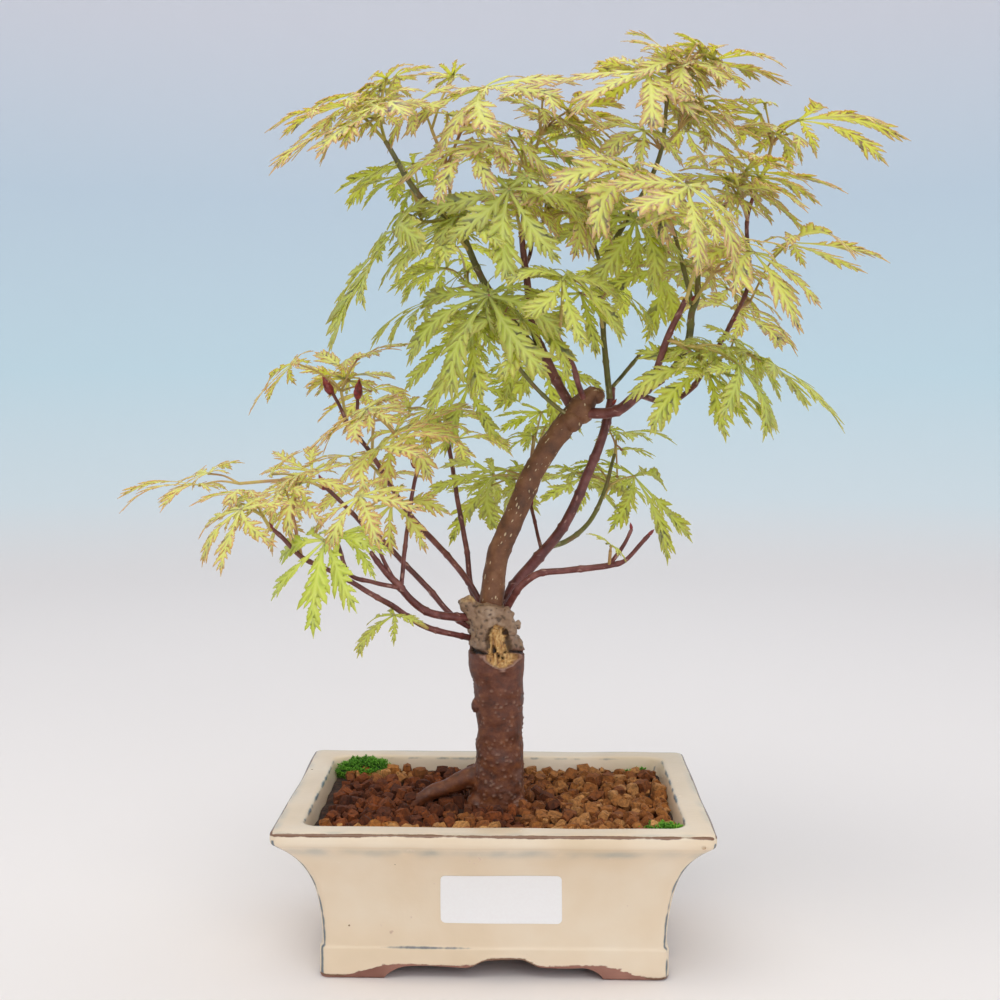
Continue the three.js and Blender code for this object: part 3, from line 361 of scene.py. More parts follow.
blue = break_mask(tree, "blue_break", 0.3, 0.85)
iron = break_mask(tree, "iron_break", 0.32, 0.62)
wiped = add_node(tree, "ShaderNodeAttribute", attribute_name="bare_clay").outputs["Fac"]
wavering = add_node(tree, "ShaderNodeMath", {1: 0.35}, {0: ragged, 2: wiped}, operation="MULTIPLY_ADD").outputs[0]
clay = add_node(tree, "ShaderNodeMapRange", {1: 0.46, 2: 0.56}, {0: wavering}).outputs[0]
# Grey painted shade under the rim, mixed with thinner glaze at the top arris.
rim_shade_and_thin_glaze_mark = add_node(tree, "ShaderNodeAttribute", attribute_name="rim_shade_and_thin_glaze").outputs["Fac"]
rim_shade_and_thin_glaze_share = add_node(tree, "ShaderNodeMath", links={0: rim_shade_and_thin_glaze_mark, 1: patch}, operation="MULTIPLY").outputs[0]
with_rim_shade_and_thin_glaze = add_node(tree, "ShaderNodeMix", {7: linear("#98a4a4")}, {0: rim_shade_and_thin_glaze_share, 6: cream},
                   data_type="RGBA").outputs[2]
with_blue = add_node(tree, "ShaderNodeMix", {7: linear("#6c7478")}, {0: blue, 6: with_rim_shade_and_thin_glaze}, data_type="RGBA").outputs[2]
with_iron = add_node(tree, "ShaderNodeMix", {7: linear("#7d5a44")}, {0: iron, 6: with_blue},
                     data_type="RGBA").outputs[2]
speck_cells = add_node(tree, "ShaderNodeTexVoronoi", {"Scale": 150.0, "Randomness": 1.0}, {"Vector": spot})
speck_chance = add_node(tree, "ShaderNodeSeparateColor", links={0: speck_cells.outputs["Color"]}).outputs[0]
speck_size = add_node(tree, "ShaderNodeMapRange", {1: 0.93, 2: 1.0, 3: 0.0, 4: 0.11}, {0: speck_chance}).outputs[0]
speck = add_node(tree, "ShaderNodeMath", links={0: speck_cells.outputs["Distance"], 1: speck_size},
                 operation="LESS_THAN").outputs[0]
with_specks = add_node(tree, "ShaderNodeMix", {7: linear("#8f7458")}, {0: speck, 6: with_iron},
                       data_type="RGBA").outputs[2]
clay_tone = add_node(tree, "ShaderNodeValToRGB", links={0: patch}, ramp=[(0.3, "#875a4c"), (0.7, "#a57565")]).outputs[0]
tree.links.new(add_node(tree, "ShaderNodeMix", links={0: clay, 6: with_specks, 7: clay_tone},
                        data_type="RGBA").outputs[2], shader.inputs["Base Color"])
tree.links.new(add_node(tree, "ShaderNodeMapRange", {1: 0.0, 2: 1.0, 3: 0.26, 4: 0.85}, {0: clay}).outputs[0],
               shader.inputs["Roughness"])
skin = add_node(tree, "ShaderNodeBump", {"Strength": 0.12, "Distance": 0.0006}, {"Height": fray})
tree.links.new(skin.outputs[0], shader.inputs["Normal"])
shader.inputs["IOR"].default_value = 1.52
pot.data.materials.clear()
pot.data.materials.append(glaze)
belongs(pot, "glaze", "pot")

# ---- Label ----
# A blank white adhesive label, 50 by 22 mm with rounded corners, rubbed onto the waisted front wall.

label_rows = [0, 0.12, 0.35, 0.7, 1.2, 2] + list(np.linspace(3, 19, 17)) + [20, 20.8, 21.3, 21.65, 21.88, 22]
label_columns = np.linspace(-1, 1, 41)
label_points = []
for lift in (0.25, 0.07):
    for up in label_rows:
        into_corner = max(2 - up, up - 20, 0)
        half = 25 - (2 - math.sqrt(4 - into_corner ** 2))
        z = 24 + up
        y = -(POT_WIDTH / 2 - wall_inset(z)) - lift
        label_points += [hand_pressed((3 + half * share, y, z)) for share in label_columns]
wide = len(label_columns)
sheet_size = wide * len(label_rows)
label_faces = []
for r in range(len(label_rows) - 1):
    for c in range(wide - 1):
        a = r * wide + c
        label_faces.append((a, a + 1, a + wide + 1, a + wide))
        label_faces.append(tuple(v + sheet_size for v in (a + wide, a + wide + 1, a + 1, a)))
border = list(range(wide)) + [r * wide + wide - 1 for r in range(1, len(label_rows))]
border += [sheet_size - 1 - c for c in range(1, wide)] + [r * wide for r in range(len(label_rows) - 2, 0, -1)]
for a, b in zip(border, border[1:] + border[:1]):
    label_faces.append((b, a, a + sheet_size, b + sheet_size))
label = new_piece("blank_label", label_points, label_faces)
label.data.set_sharp_from_angle(angle=math.radians(50))

# Coated label paper: a smooth white face with a hint of fibre.
paper, tree, shader = new_material("coated_label_paper")
spot = add_node(tree, "ShaderNodeTexCoord").outputs["Object"]
fibre = add_node(tree, "ShaderNodeTexNoise", {"Scale": 900.0, "Detail": 2.0}, {"Vector": spot}).outputs["Fac"]
tree.links.new(add_node(tree, "ShaderNodeValToRGB", links={0: fibre}, ramp=[(0.3, "#f9f6f5"), (0.7, "#fbf9f8")]).outputs[0], shader.inputs["Base Color"])
press = add_node(tree, "ShaderNodeBump", {"Strength": 0.02, "Distance": 0.0001}, {"Height": fibre})
tree.links.new(press.outputs[0], shader.inputs["Normal"])
shader.inputs["Roughness"].default_value = 0.38
label.data.materials.append(paper)
belongs(label, "label", "label")

# ---- Drain meshes and wires ----
# Moulded plastic squares lie over the two drain holes, each clipped down by a staple of soft aluminium wire.

plastic, tree, shader = new_material("moulded_polyethylene_mesh")
spot = add_node(tree, "ShaderNodeTexCoord").outputs["Object"]
silt = add_node(tree, "ShaderNodeTexNoise", {"Scale": 300.0, "Detail": 4.0}, {"Vector": spot}).outputs["Fac"]
tree.links.new(add_node(tree, "ShaderNodeValToRGB", links={0: silt}, ramp=[(0.45, "#26262a"), (0.75, "#54463c")]).outputs[0], shader.inputs["Base Color"])
shader.inputs["Roughness"].default_value = 0.55
wire, tree, shader = new_material("brown_anodised_aluminium_wire")
spot = add_node(tree, "ShaderNodeTexCoord").outputs["Object"]
scuff = add_node(tree, "ShaderNodeTexNoise", {"Scale": 500.0, "Detail": 2.0}, {"Vector": spot}).outputs["Fac"]
tree.links.new(add_node(tree, "ShaderNodeValToRGB", links={0: scuff}, ramp=[(0.4, "#7b6a5c"), (0.7, "#a3958a")]).outputs[0], shader.inputs["Base Color"])
shader.inputs["Metallic"].default_value = 1.0
shader.inputs["Roughness"].default_value = 0.38
for kind, finish in (("mesh", plastic), ("wire", wire)):
    for which in ("left", "right"):
        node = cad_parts[f"drain_{kind}_{which}"]
        node.data.materials.clear()
        node.data.materials.append(finish)

# ---- Soil ----
# The bed is akadama, a fired clay granule of 3 to 10 mm. Water darkens it to red-brown on the left of
# the trunk; the right side and the front edge have dried to ochre and tan.

SOIL_LEVEL = 60
# The soil surface under the granules is near-black brown. It is painted shade for the gaps between granules, the bare
# strips along the wall and the hollow under the root.
bed_soil, tree, shader = new_material("soil_gap_painted_shade")
spot = add_node(tree, "ShaderNodeTexCoord").outputs["Object"]
crumb = add_node(tree, "ShaderNodeTexNoise", {"Scale": 380.0, "Detail": 5.0}, {"Vector": spot}).outputs["Fac"]
tree.links.new(add_node(tree, "ShaderNodeValToRGB", links={0: crumb}, ramp=[(0.35, "#1c120d"), (0.7, "#4a2d1e")]).outputs[0], shader.inputs["Base Color"])
loose = add_node(tree, "ShaderNodeBump", {"Strength": 0.8, "Distance": 0.001}, {"Height": crumb})
tree.links.new(loose.outputs[0], shader.inputs["Normal"])
shader.inputs["Roughness"].default_value = 0.95
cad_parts["soil"].data.materials.clear()
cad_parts["soil"].data.materials.append(bed_soil)


def ground_height(x, y):
    wave = math.sin(x * 0.41 + 1.3) * math.cos(y * 0.47) + 0.6 * math.sin(x * 0.19 - y * 0.31)
    return SOIL_LEVEL + 0.91 * wave


def bed_holds(x, y, margin):
    """Inside the pot's wall, off the trunk, and out of the hollow under the surface root, where the near-black soil
    shows as painted shade.
    """
    # The bed stops short of the wall at the left and the back. This leaves strips of the near-black soil bare as
    # painted shade.
    if not (-72.5 + margin < x < 75 - margin and -51.5 + margin < y < 48.5 - margin):
        return False
    if math.hypot(x, y) < 12.2 + margin:
        return False
    return math.hypot((x + 16) / 11, (y + 10) / 6) > 1


bed_pitch = 2.0
columns = [x * bed_pitch for x in range(-38, 39)]
rows = [y * bed_pitch for y in range(-26, 27)]
bed_points = [(x, y, ground_height(x, y) + 0.4) for y in rows for x in columns]
bed_faces = []
for r in range(len(rows) - 1):
    for c in range(len(columns) - 1):
        if bed_holds(columns[c] + 1, rows[r] + 1, 1.8):
            a = r * len(columns) + c
            bed_faces.append((a, a + 1, a + len(columns) + 1, a + len(columns)))
granules = new_piece("akadama_granules", bed_points, bed_faces)

grain_tree = bpy.data.node_groups.new("granule_bed", "GeometryNodeTree")
grain_tree.interface.new_socket("Geometry", in_out="INPUT", socket_type="NodeSocketGeometry")
for name in ("Large spacing", "Large radius", "Small spacing", "Small radius", "Roughness depth"):
    grain_tree.interface.new_socket(name, in_out="INPUT", socket_type="NodeSocketFloat")
grain_tree.interface.new_socket("Material", in_out="INPUT", socket_type="NodeSocketMaterial")
grain_tree.interface.new_socket("Geometry", in_out="OUTPUT", socket_type="NodeSocketGeometry")
given = add_node(grain_tree, "NodeGroupInput").outputs
layers = []
for spacing, radius, seed, low in (("Large spacing", "Large radius", 3, 0.55), ("Small spacing", "Small radius", 8, 0.6)):
    strewn = add_node(grain_tree, "GeometryNodeDistributePointsOnFaces", {"Seed": seed, "Density Max": 400000.0},
                      {"Mesh": given["Geometry"], "Distance Min": given[spacing]}, distribute_method="POISSON")
    stretch = add_node(grain_tree, "FunctionNodeRandomValue", {0: (low, low, low), 1: (1.35, 1.15, 1.0), "Seed": seed},
                       data_type="FLOAT_VECTOR").outputs[0]
    size = add_node(grain_tree, "ShaderNodeVectorMath", links={0: stretch, 3: given[radius]},
                    operation="SCALE").outputs[0]
    spin = add_node(grain_tree, "FunctionNodeRandomValue", {0: (0, 0, 0), 1: (6.28, 6.28, 6.28), "Seed": seed + 1},
                    data_type="FLOAT_VECTOR").outputs[0]
    hop = add_node(grain_tree, "FunctionNodeRandomValue", {0: (0, 0, -0.0006), 1: (0, 0, 0.0022), "Seed": seed + 2},
                   data_type="FLOAT_VECTOR").outputs[0]
    heaped = add_node(grain_tree, "GeometryNodeSetPosition", links={"Geometry": strewn.outputs["Points"],
                                                                    "Offset": hop}).outputs[0]
    block = add_node(grain_tree, "GeometryNodeMeshCube", {"Size": (1.5, 1.5, 1.5), 1: 3, 2: 3, 3: 3}).outputs[0]
    corner = add_node(grain_tree, "GeometryNodeInputPosition").outputs[0]
    ball = add_node(grain_tree, "ShaderNodeVectorMath", links={0: corner}, operation="NORMALIZE").outputs[0]
    inward = add_node(grain_tree, "ShaderNodeVectorMath", links={0: ball, 1: corner}, operation="SUBTRACT").outputs[0]
    part_way = add_node(grain_tree, "ShaderNodeVectorMath", {"Scale": 0.5}, {0: inward}, operation="SCALE").outputs[0]
    lump = add_node(grain_tree, "GeometryNodeSetPosition", links={"Geometry": block, "Offset": part_way}).outputs[0]
    placed = add_node(grain_tree, "GeometryNodeInstanceOnPoints",
                      links={"Points": heaped, "Instance": lump, "Rotation": spin, "Scale": size}).outputs[0]
    layers.append(placed)
both = add_node(grain_tree, "GeometryNodeJoinGeometry")
for layer in layers:
    grain_tree.links.new(layer, both.inputs[0])
here = add_node(grain_tree, "GeometryNodeInputPosition").outputs[0]
chance = add_node(grain_tree, "FunctionNodeRandomValue", {2: 0.0, 3: 1.0, "Seed": 21}, data_type="FLOAT").outputs[1]
toned = add_node(grain_tree, "GeometryNodeStoreNamedAttribute", {"Name": "tone"},
                 {"Geometry": both.outputs[0], "Value": chance}, data_type="FLOAT", domain="INSTANCE").outputs[0]
centred = add_node(grain_tree, "GeometryNodeStoreNamedAttribute", {"Name": "centre"},
                   {"Geometry": toned, "Value": here}, data_type="FLOAT_VECTOR", domain="INSTANCE").outputs[0]
real = add_node(grain_tree, "GeometryNodeRealizeInstances", links={0: centred}).outputs[0]
facets = add_node(grain_tree, "ShaderNodeTexNoise", {"Scale": 270.0, "Detail": 3.0, "Roughness": 0.75}).outputs["Color"]
centred_noise = add_node(grain_tree, "ShaderNodeVectorMath", {1: (0.5, 0.5, 0.5)}, {0: facets},
                         operation="SUBTRACT").outputs[0]
push = add_node(grain_tree, "ShaderNodeVectorMath", links={0: centred_noise, 3: given["Roughness depth"]},
                operation="SCALE").outputs[0]
chipped = add_node(grain_tree, "GeometryNodeSetPosition", links={"Geometry": real, "Offset": push}).outputs[0]
dressed = add_node(grain_tree, "GeometryNodeSetMaterial", links={"Geometry": chipped,
                                                                 "Material": given["Material"]}).outputs[0]
add_node(grain_tree, "NodeGroupOutput", links={0: dressed})

# Akadama: matt porous clay, each granule its own shade, with pits and dust on its faces.
akadama, tree, shader = new_material("akadama_clay_granules")
tone = add_node(tree, "ShaderNodeAttribute", attribute_name="tone").outputs["Fac"]
dry = add_node(tree, "ShaderNodeAttribute", attribute_name="dry").outputs["Fac"]
spot = add_node(tree, "ShaderNodeTexCoord").outputs["Object"]
pits = add_node(tree, "ShaderNodeTexNoise", {"Scale": 620.0, "Detail": 5.0, "Roughness": 0.65},
                {"Vector": spot}).outputs["Fac"]
wet_tone = add_node(tree, "ShaderNodeValToRGB", links={0: tone}, ramp=[(0, "#58270c"), (0.5, "#70350f"), (1, "#964d1c")]).outputs[0]
dry_tone = add_node(tree, "ShaderNodeValToRGB", links={0: tone}, ramp=[(0, "#9b5622"), (0.5, "#c07a34"), (1, "#e0a562")]).outputs[0]
shade = add_node(tree, "ShaderNodeMix", links={0: dry, 6: wet_tone, 7: dry_tone}, data_type="RGBA").outputs[2]
pitted = add_node(tree, "ShaderNodeValToRGB", links={0: pits}, ramp=[(0.3, "#8c8c8c"), (0.6, "#ffffff")]).outputs[0]
tree.links.new(add_node(tree, "ShaderNodeMix", {0: 1.0}, {6: shade, 7: pitted}, data_type="RGBA",
                        blend_type="MULTIPLY").outputs[2], shader.inputs["Base Color"])
grit = add_node(tree, "ShaderNodeBump", {"Strength": 0.7, "Distance": 0.0009}, {"Height": pits})
tree.links.new(grit.outputs[0], shader.inputs["Normal"])
shader.inputs["Roughness"].default_value = 0.9


def set_inputs(piece, group, values):
    """Adds a Geometry Nodes modifier, its inputs set by the sockets' identifiers."""
    maker = piece.modifiers.new(group.name, "NODES")
    maker.node_group = group
    for item in group.interface.items_tree:
        if item.item_type == "SOCKET" and item.in_out == "INPUT" and item.name in values:
            maker[item.identifier] = values[item.name]


set_inputs(granules, grain_tree, {"Large spacing": 0.0062, "Large radius": 0.0039, "Small spacing": 0.0033,
                                  "Small radius": 0.0017, "Roughness depth": 0.0036, "Material": akadama})
settle(granules)
middles = np.zeros(len(granules.data.vertices) * 3)
granules.data.attributes["centre"].data.foreach_get("vector", middles)
middles = middles.reshape(-1, 3) / MM
drift = np.array([noise.noise(Vector((x / 18, y / 18, 0.3))) for x, y, z in middles])
dryness = np.clip((middles[:, 0] + 4 + 38 * drift) / 26, 0, 1) * 0.62
dryness = np.maximum(dryness, np.clip((-38.5 - middles[:, 1] + 5 * drift) / 5, 0, 1))
back_left = np.clip(1 - np.hypot((middles[:, 0] + 55) / 26, (middles[:, 1] - 38) / 12), 0, 1)
store(granules, "dry", np.clip(np.maximum(dryness, 2.4 * back_left), 0, 1))
granules.data.polygons.foreach_set("use_smooth", [True] * len(granules.data.polygons))
granules.data.set_sharp_from_angle(angle=math.radians(48))
belongs(granules, "soil")

# ---- Moss ----
# Cushions of live moss pressed into three corners of the bed, each a crowd of short leafy shoots.

moss_green, tree, shader = new_material("live_cushion_moss")
spot = add_node(tree, "ShaderNodeTexCoord").outputs["Object"]
fresh = add_node(tree, "ShaderNodeTexNoise", {"Scale": 180.0, "Detail": 3.0}, {"Vector": spot}).outputs["Fac"]
tip = add_node(tree, "ShaderNodeAttribute", attribute_name="shoot_tip").outputs["Fac"]
leafy = add_node(tree, "ShaderNodeValToRGB", links={0: fresh}, ramp=[(0.3, "#4f8f18"), (0.7, "#86cc34")]).outputs[0]
rooted = add_node(tree, "ShaderNodeMix", {6: linear("#27500f")}, {0: tip, 7: leafy}, data_type="RGBA").outputs[2]
tree.links.new(rooted, shader.inputs["Base Color"])
shader.inputs["Roughness"].default_value = 0.7

shoot_points, shoot_faces, shoot_tips = [], [], []
for leaf in range(9):
    turn = leaf * 2.4
    reach, rise = 0.62 - 0.045 * leaf, 0.35 + 0.1 * leaf
    out = Vector((math.cos(turn), math.sin(turn), 0))
    across = Vector((-out.y, out.x, 0)) * 0.13
    base = Vector((0, 0, rise - 0.3))
    for point, tipness in ((base - across, 0.3), (base + across, 0.3), (base + out * 0.5 * reach + across +
                           Vector((0, 0, 0.3)), 0.8), (base + out * reach + Vector((0, 0, 0.42)), 1.0),
                           (base + out * 0.5 * reach - across + Vector((0, 0, 0.3)), 0.8),
                           (base + out * 0.4 * reach + Vector((0, 0, 0.08)), 0.5)):
        shoot_points.append(tuple(point))
        shoot_tips.append(tipness)
    a = leaf * 6
    shoot_faces += [(a, a + 1, a + 2, a + 4), (a + 4, a + 2, a + 3), (a + 1, a, a + 5), (a + 1, a + 5, a + 2),
                    (a, a + 4, a + 5), (a + 2, a + 5, a + 3), (a + 4, a + 3, a + 5)]
shoot = new_piece("moss_shoot", shoot_points, shoot_faces)
store(shoot, "shoot_tip", shoot_tips)

moss_tree = bpy.data.node_groups.new("moss_cushion", "GeometryNodeTree")
moss_tree.interface.new_socket("Geometry", in_out="INPUT", socket_type="NodeSocketGeometry")
moss_tree.interface.new_socket("Shoot", in_out="INPUT", socket_type="NodeSocketObject")
moss_tree.interface.new_socket("Spacing", in_out="INPUT", socket_type="NodeSocketFloat")
moss_tree.interface.new_socket("Shoot size", in_out="INPUT", socket_type="NodeSocketFloat")
moss_tree.interface.new_socket("Material", in_out="INPUT", socket_type="NodeSocketMaterial")
moss_tree.interface.new_socket("Geometry", in_out="OUTPUT", socket_type="NodeSocketGeometry")
given = add_node(moss_tree, "NodeGroupInput").outputs
strewn = add_node(moss_tree, "GeometryNodeDistributePointsOnFaces", {"Seed": 4, "Density Max": 9000000.0},
                  {"Mesh": given["Geometry"], "Distance Min": given["Spacing"]}, distribute_method="POISSON")
shape = add_node(moss_tree, "GeometryNodeObjectInfo", links={"Object": given["Shoot"]}).outputs["Geometry"]
wide_range = add_node(moss_tree, "FunctionNodeRandomValue", {2: 0.7, 3: 1.35, "Seed": 2}, data_type="FLOAT").outputs[1]
grown = add_node(moss_tree, "ShaderNodeMath", links={0: wide_range, 1: given["Shoot size"]},
                 operation="MULTIPLY").outputs[0]
placed = add_node(moss_tree, "GeometryNodeInstanceOnPoints",
                  links={"Points": strewn.outputs["Points"], "Instance": shape,
                         "Rotation": strewn.outputs["Rotation"], "Scale": grown}).outputs[0]
twist = add_node(moss_tree, "FunctionNodeRandomValue", {0: (-0.4, -0.4, 0), 1: (0.4, 0.4, 6.28), "Seed": 6},
                 data_type="FLOAT_VECTOR").outputs[0]
turned = add_node(moss_tree, "GeometryNodeRotateInstances", links={"Instances": placed, "Rotation": twist}).outputs[0]
cushion = add_node(moss_tree, "GeometryNodeJoinGeometry")
moss_tree.links.new(turned, cushion.inputs[0])
moss_tree.links.new(given["Geometry"], cushion.inputs[0])
real = add_node(moss_tree, "GeometryNodeRealizeInstances", links={0: cushion.outputs[0]}).outputs[0]
dressed = add_node(moss_tree, "GeometryNodeSetMaterial", links={"Geometry": real,
                                                                "Material": given["Material"]}).outputs[0]
add_node(moss_tree, "NodeGroupOutput", links={0: dressed})

moss_cushions = {
    "moss_back_left": ((-63.5, 44.5, 60.5), (12, 6.5, 7)),
    "moss_front_right": ((69.9, -45.9, 60.5), (9, 6, 4.2)),
    "moss_back_right": ((66, 45, 60), (4.5, 2.5, 2.2)),
}
for name, (middle, size) in moss_cushions.items():
    mound_points = [(middle[0], middle[1], middle[2] + size[2] * 0.8)]
    levels, spokes = 8, 28
    for level in range(1, levels + 1):
        for spoke in range(spokes):
            turn = 2 * math.pi * spoke / spokes
            out = math.sin(level / levels * math.pi / 2)
            lump = 1 + 0.16 * noise.noise(Vector((3 * math.cos(turn), 3 * math.sin(turn), level * 0.4 + middle[0])))
            x = middle[0] + size[0] * out * lump * math.cos(turn)
            y = middle[1] + size[1] * out * lump * math.sin(turn)
            z = middle[2] + size[2] * 0.8 * lump * math.cos(level / levels * math.pi / 2)
            mound_points.append((min(max(x, -76), 76), min(max(y, -51), 51), z))
    mound_faces = [(0, 1 + s, 1 + (s + 1) % spokes) for s in range(spokes)]
    for level in range(levels - 1):
        for s in range(spokes):
            a, b = 1 + level * spokes + s, 1 + level * spokes + (s + 1) % spokes
            mound_faces.append((a, a + spokes, b + spokes, b))
    mound_faces.append(tuple(1 + (levels - 1) * spokes + s for s in range(spokes))[::-1])
    cushion_piece = new_piece(name + "_shoots", mound_points, mound_faces)
    set_inputs(cushion_piece, moss_tree, {"Shoot": shoot, "Spacing": 0.0011, "Shoot size": 2.3,
                                          "Material": moss_green})
    settle(cushion_piece)
    belongs(cushion_piece, "moss", name)
bpy.data.objects.remove(shoot)

# ---- Trunk ----
# The old trunk was sawn off low and healed: red-brown bark with raised corky pores below, a shoulder of
# callus round a rotted wound of tan wood, the sawn stub of a shoot, and one root running over the soil.

TRUNK_STEMS = [
    ([[0, 0, -17], [-0.2, 0, -6], [0, 0, 1], [0.5, 0, 7], [1.2, 0, 17], [1.5, 0, 30], [1.4, 0, 44], [0.6, 0, 56],
      [-0.2, 0, 65], [-0.6, 0, 71], [-1.4, 0, 74.5], [-3, 0.5, 80], [-4.5, 1, 86], [-4.5, 1, 90]],
     [13.5, 13.3, 12.8, 12, 10.8, 10.2, 10.3, 11.3, 12.6, 12.3, 9.6, 9, 8.8, 7.6]),
    ([[-6, 0, 13.5], [-13, -1, 11.8], [-21, -3, 8.8], [-30, -5, 5.4], [-38, -7, 0], [-43, -8, -8]],
     [5, 4.6, 3.8, 3.2, 2.8, 2.2]),
    ([[-8, -2, 84], [-11.5, -3, 89], [-14.2, -4, 93]], [4, 3.8, 3.5]),
]


def smooth_path(points, u):
    """A point of the centripetal Catmull-Rom curve through the given points, u from 0 to 1."""
    count = len(points)
    place = min(max(u, 0), 1) * (count - 1)
    i = min(int(place), count - 2)
    t = place - i
    p1, p2 = points[i], points[i + 1]
    p0 = points[i - 1] if i > 0 else 2 * p1 - p2
    p3 = points[i + 2] if i + 2 < count else 2 * p2 - p1
    d0, d1, d2 = ((b - a).length ** 0.5 for a, b in ((p0, p1), (p1, p2), (p2, p3)))
    m1 = ((p1 - p0) / d0 - (p2 - p0) / (d0 + d1) + (p2 - p1) / d1) * d1
    m2 = ((p2 - p1) / d1 - (p3 - p1) / (d1 + d2) + (p3 - p2) / d2) * d1
    return p1 + m1 * t + (3 * (p2 - p1) - 2 * m1 - m2) * t ** 2 + (2 * (p1 - p2) + m1 + m2) * t ** 3


def stem_tube(points, radii, pitch=1.5, sides=14, swell=None, blunt=True):
    """Rings along a smooth path: points, faces, and each point's way along and round, in millimetres.
    The radius goes evenly from point to point, and swell gives a share to add at a length."""
    path = [Vector(p) for p in points]
    samples = [smooth_path(path, i / 400) for i in range(401)]
    lengths = np.concatenate([[0], np.cumsum([(b - a).length for a, b in zip(samples, samples[1:])])])
    count = max(int(lengths[-1] / pitch), 2)
    rows = [(np.interp(lengths[-1] * i / count, lengths, np.linspace(0, 1, 401)), 1.0) for i in range(count + 1)]
    if blunt:
        rows = rows[:-1] + [(rows[-1][0], s) for s in (1.0, 0.8, 0.45)]
    verts, along, round_ = [], [], []
    normal = Vector((0.31, 0.95, 0.04))
    for row, (u, share) in enumerate(rows):
        centre = smooth_path(path, u)
        tangent = (smooth_path(path, min(u + 0.004, 1)) - smooth_path(path, max(u - 0.004, 0))).normalized()
        normal = (normal - tangent * normal.dot(tangent)).normalized()
        side_way = tangent.cross(normal)
        length = np.interp(u, np.linspace(0, 1, 401), lengths)
        radius = np.interp(u * (len(radii) - 1), range(len(radii)), radii)
        if share < 1:
            centre = centre + tangent * radius * 0.55 * (1 - share)
        radius = radius * share * (1 + (swell(length) if swell else 0))
        for s in range(sides):
            turn = 2 * math.pi * s / sides
            verts.append(centre + (normal * math.cos(turn) + side_way * math.sin(turn)) * radius)
            along.append(length)
            round_.append(turn * radius)
    faces = []
    for row in range(len(rows) - 1):
        for s in range(sides):
            n = (s + 1) % sides
            faces.append((row * sides + s, row * sides + n, (row + 1) * sides + n, (row + 1) * sides + s))
    last = (len(rows) - 1) * sides
    faces.append(tuple(range(sides))[::-1])
    faces.append(tuple(range(last, last + sides)))
    return verts, faces, along, round_


def add_shape(whole, part):
    """Adds one closed shape's points and faces to a growing list."""
    start = len(whole[0])
    whole[0].extend(part[0])
    whole[1].extend(tuple(v + start for v in face) for face in part[1])


def over_soil(points):
    return [(x, y, z + SOIL_LEVEL) for x, y, z in points]


def knob(middle, size, rings_up=8, spokes=14):
    """A closed lump: a stretched ball."""
    verts, faces = [Vector(middle) + Vector((0, 0, -size[2]))], []
    for ring in range(1, rings_up):
        fall = math.pi * ring / rings_up
        for s in range(spokes):
            turn = 2 * math.pi * s / spokes
            verts.append(Vector(middle) + Vector((size[0] * math.sin(fall) * math.cos(turn),
                                                  size[1] * math.sin(fall) * math.sin(turn),
                                                  -size[2] * math.cos(fall))))
    verts.append(Vector(middle) + Vector((0, 0, size[2])))
    faces += [(0, 1 + (s + 1) % spokes, 1 + s) for s in range(spokes)]
    for ring in range(rings_up - 2):
        for s in range(spokes):
            a, b = 1 + ring * spokes + s, 1 + ring * spokes + (s + 1) % spokes
            faces.append((a, b, b + spokes, a + spokes))
    last = 1 + (rings_up - 2) * spokes
    faces += [(last + s, last + (s + 1) % spokes, len(verts) - 1) for s in range(spokes)]
    return verts, faces


lump = ([], [])
for points, radii in TRUNK_STEMS:
    add_shape(lump, stem_tube(over_soil(points), radii, pitch=1.2, sides=36, blunt=False))
add_shape(lump, knob((-8.7, -2.5, 105.5), (2.3, 2.6, 3.0)))
add_shape(lump, knob((-9.0, 1, 131), (3.6, 5, 3.4)))
add_shape(lump, knob((9.6, -2, 129.5), (3.0, 5, 4.0)))
add_shape(lump, knob((6.4, -4.5, 138.5), (2.6, 3, 6.5)))
add_shape(lump, knob((9.4, -1.5, 141.5), (1.6, 1.8, 2.4)))
add_shape(lump, knob((-3.5, -5.5, 147.5), (6, 4, 4)))
add_shape(lump, knob((3.5, -4.5, 145.5), (4.5, 3.5, 4.5)))
add_shape(lump, knob((-11.2, -0.5, 144.2), (3.4, 3.2, 3.4)))
add_shape(lump, knob((-10.2, 0.5, 139), (3.0, 3.0, 2.8)))
add_shape(lump, knob((-9.8, 0.5, 134.4), (3.0, 3.2, 2.6)))
add_shape(lump, knob((9.0, -6, 61), (5, 5, 4)))
add_shape(lump, knob((-8.5, -6.5, 62), (5, 4.5, 5)))
trunk = new_piece("old_trunk", *lump)
skin_over = trunk.modifiers.new("skin", "REMESH")
skin_over.mode = "VOXEL"
skin_over.voxel_size = 0.00055
settle(trunk)
settling = trunk.modifiers.new("settling", "SMOOTH")
settling.factor = 0.5
settling.iterations = 6
settle(trunk)

# The bark's relief and the wound are worked into the mesh point by point.
spots = points_of(trunk)
normals = np.array([v.normal for v in trunk.data.vertices])
rotten, callused, hole_shade_and_dark_patches, lips = (np.zeros(len(spots)) for _ in range(4))
pores = np.zeros(len(spots))


def soft_step(low, high, value):
    share = np.clip((value - low) / (high - low), 0, 1)
    return share * share * (3 - 2 * share)


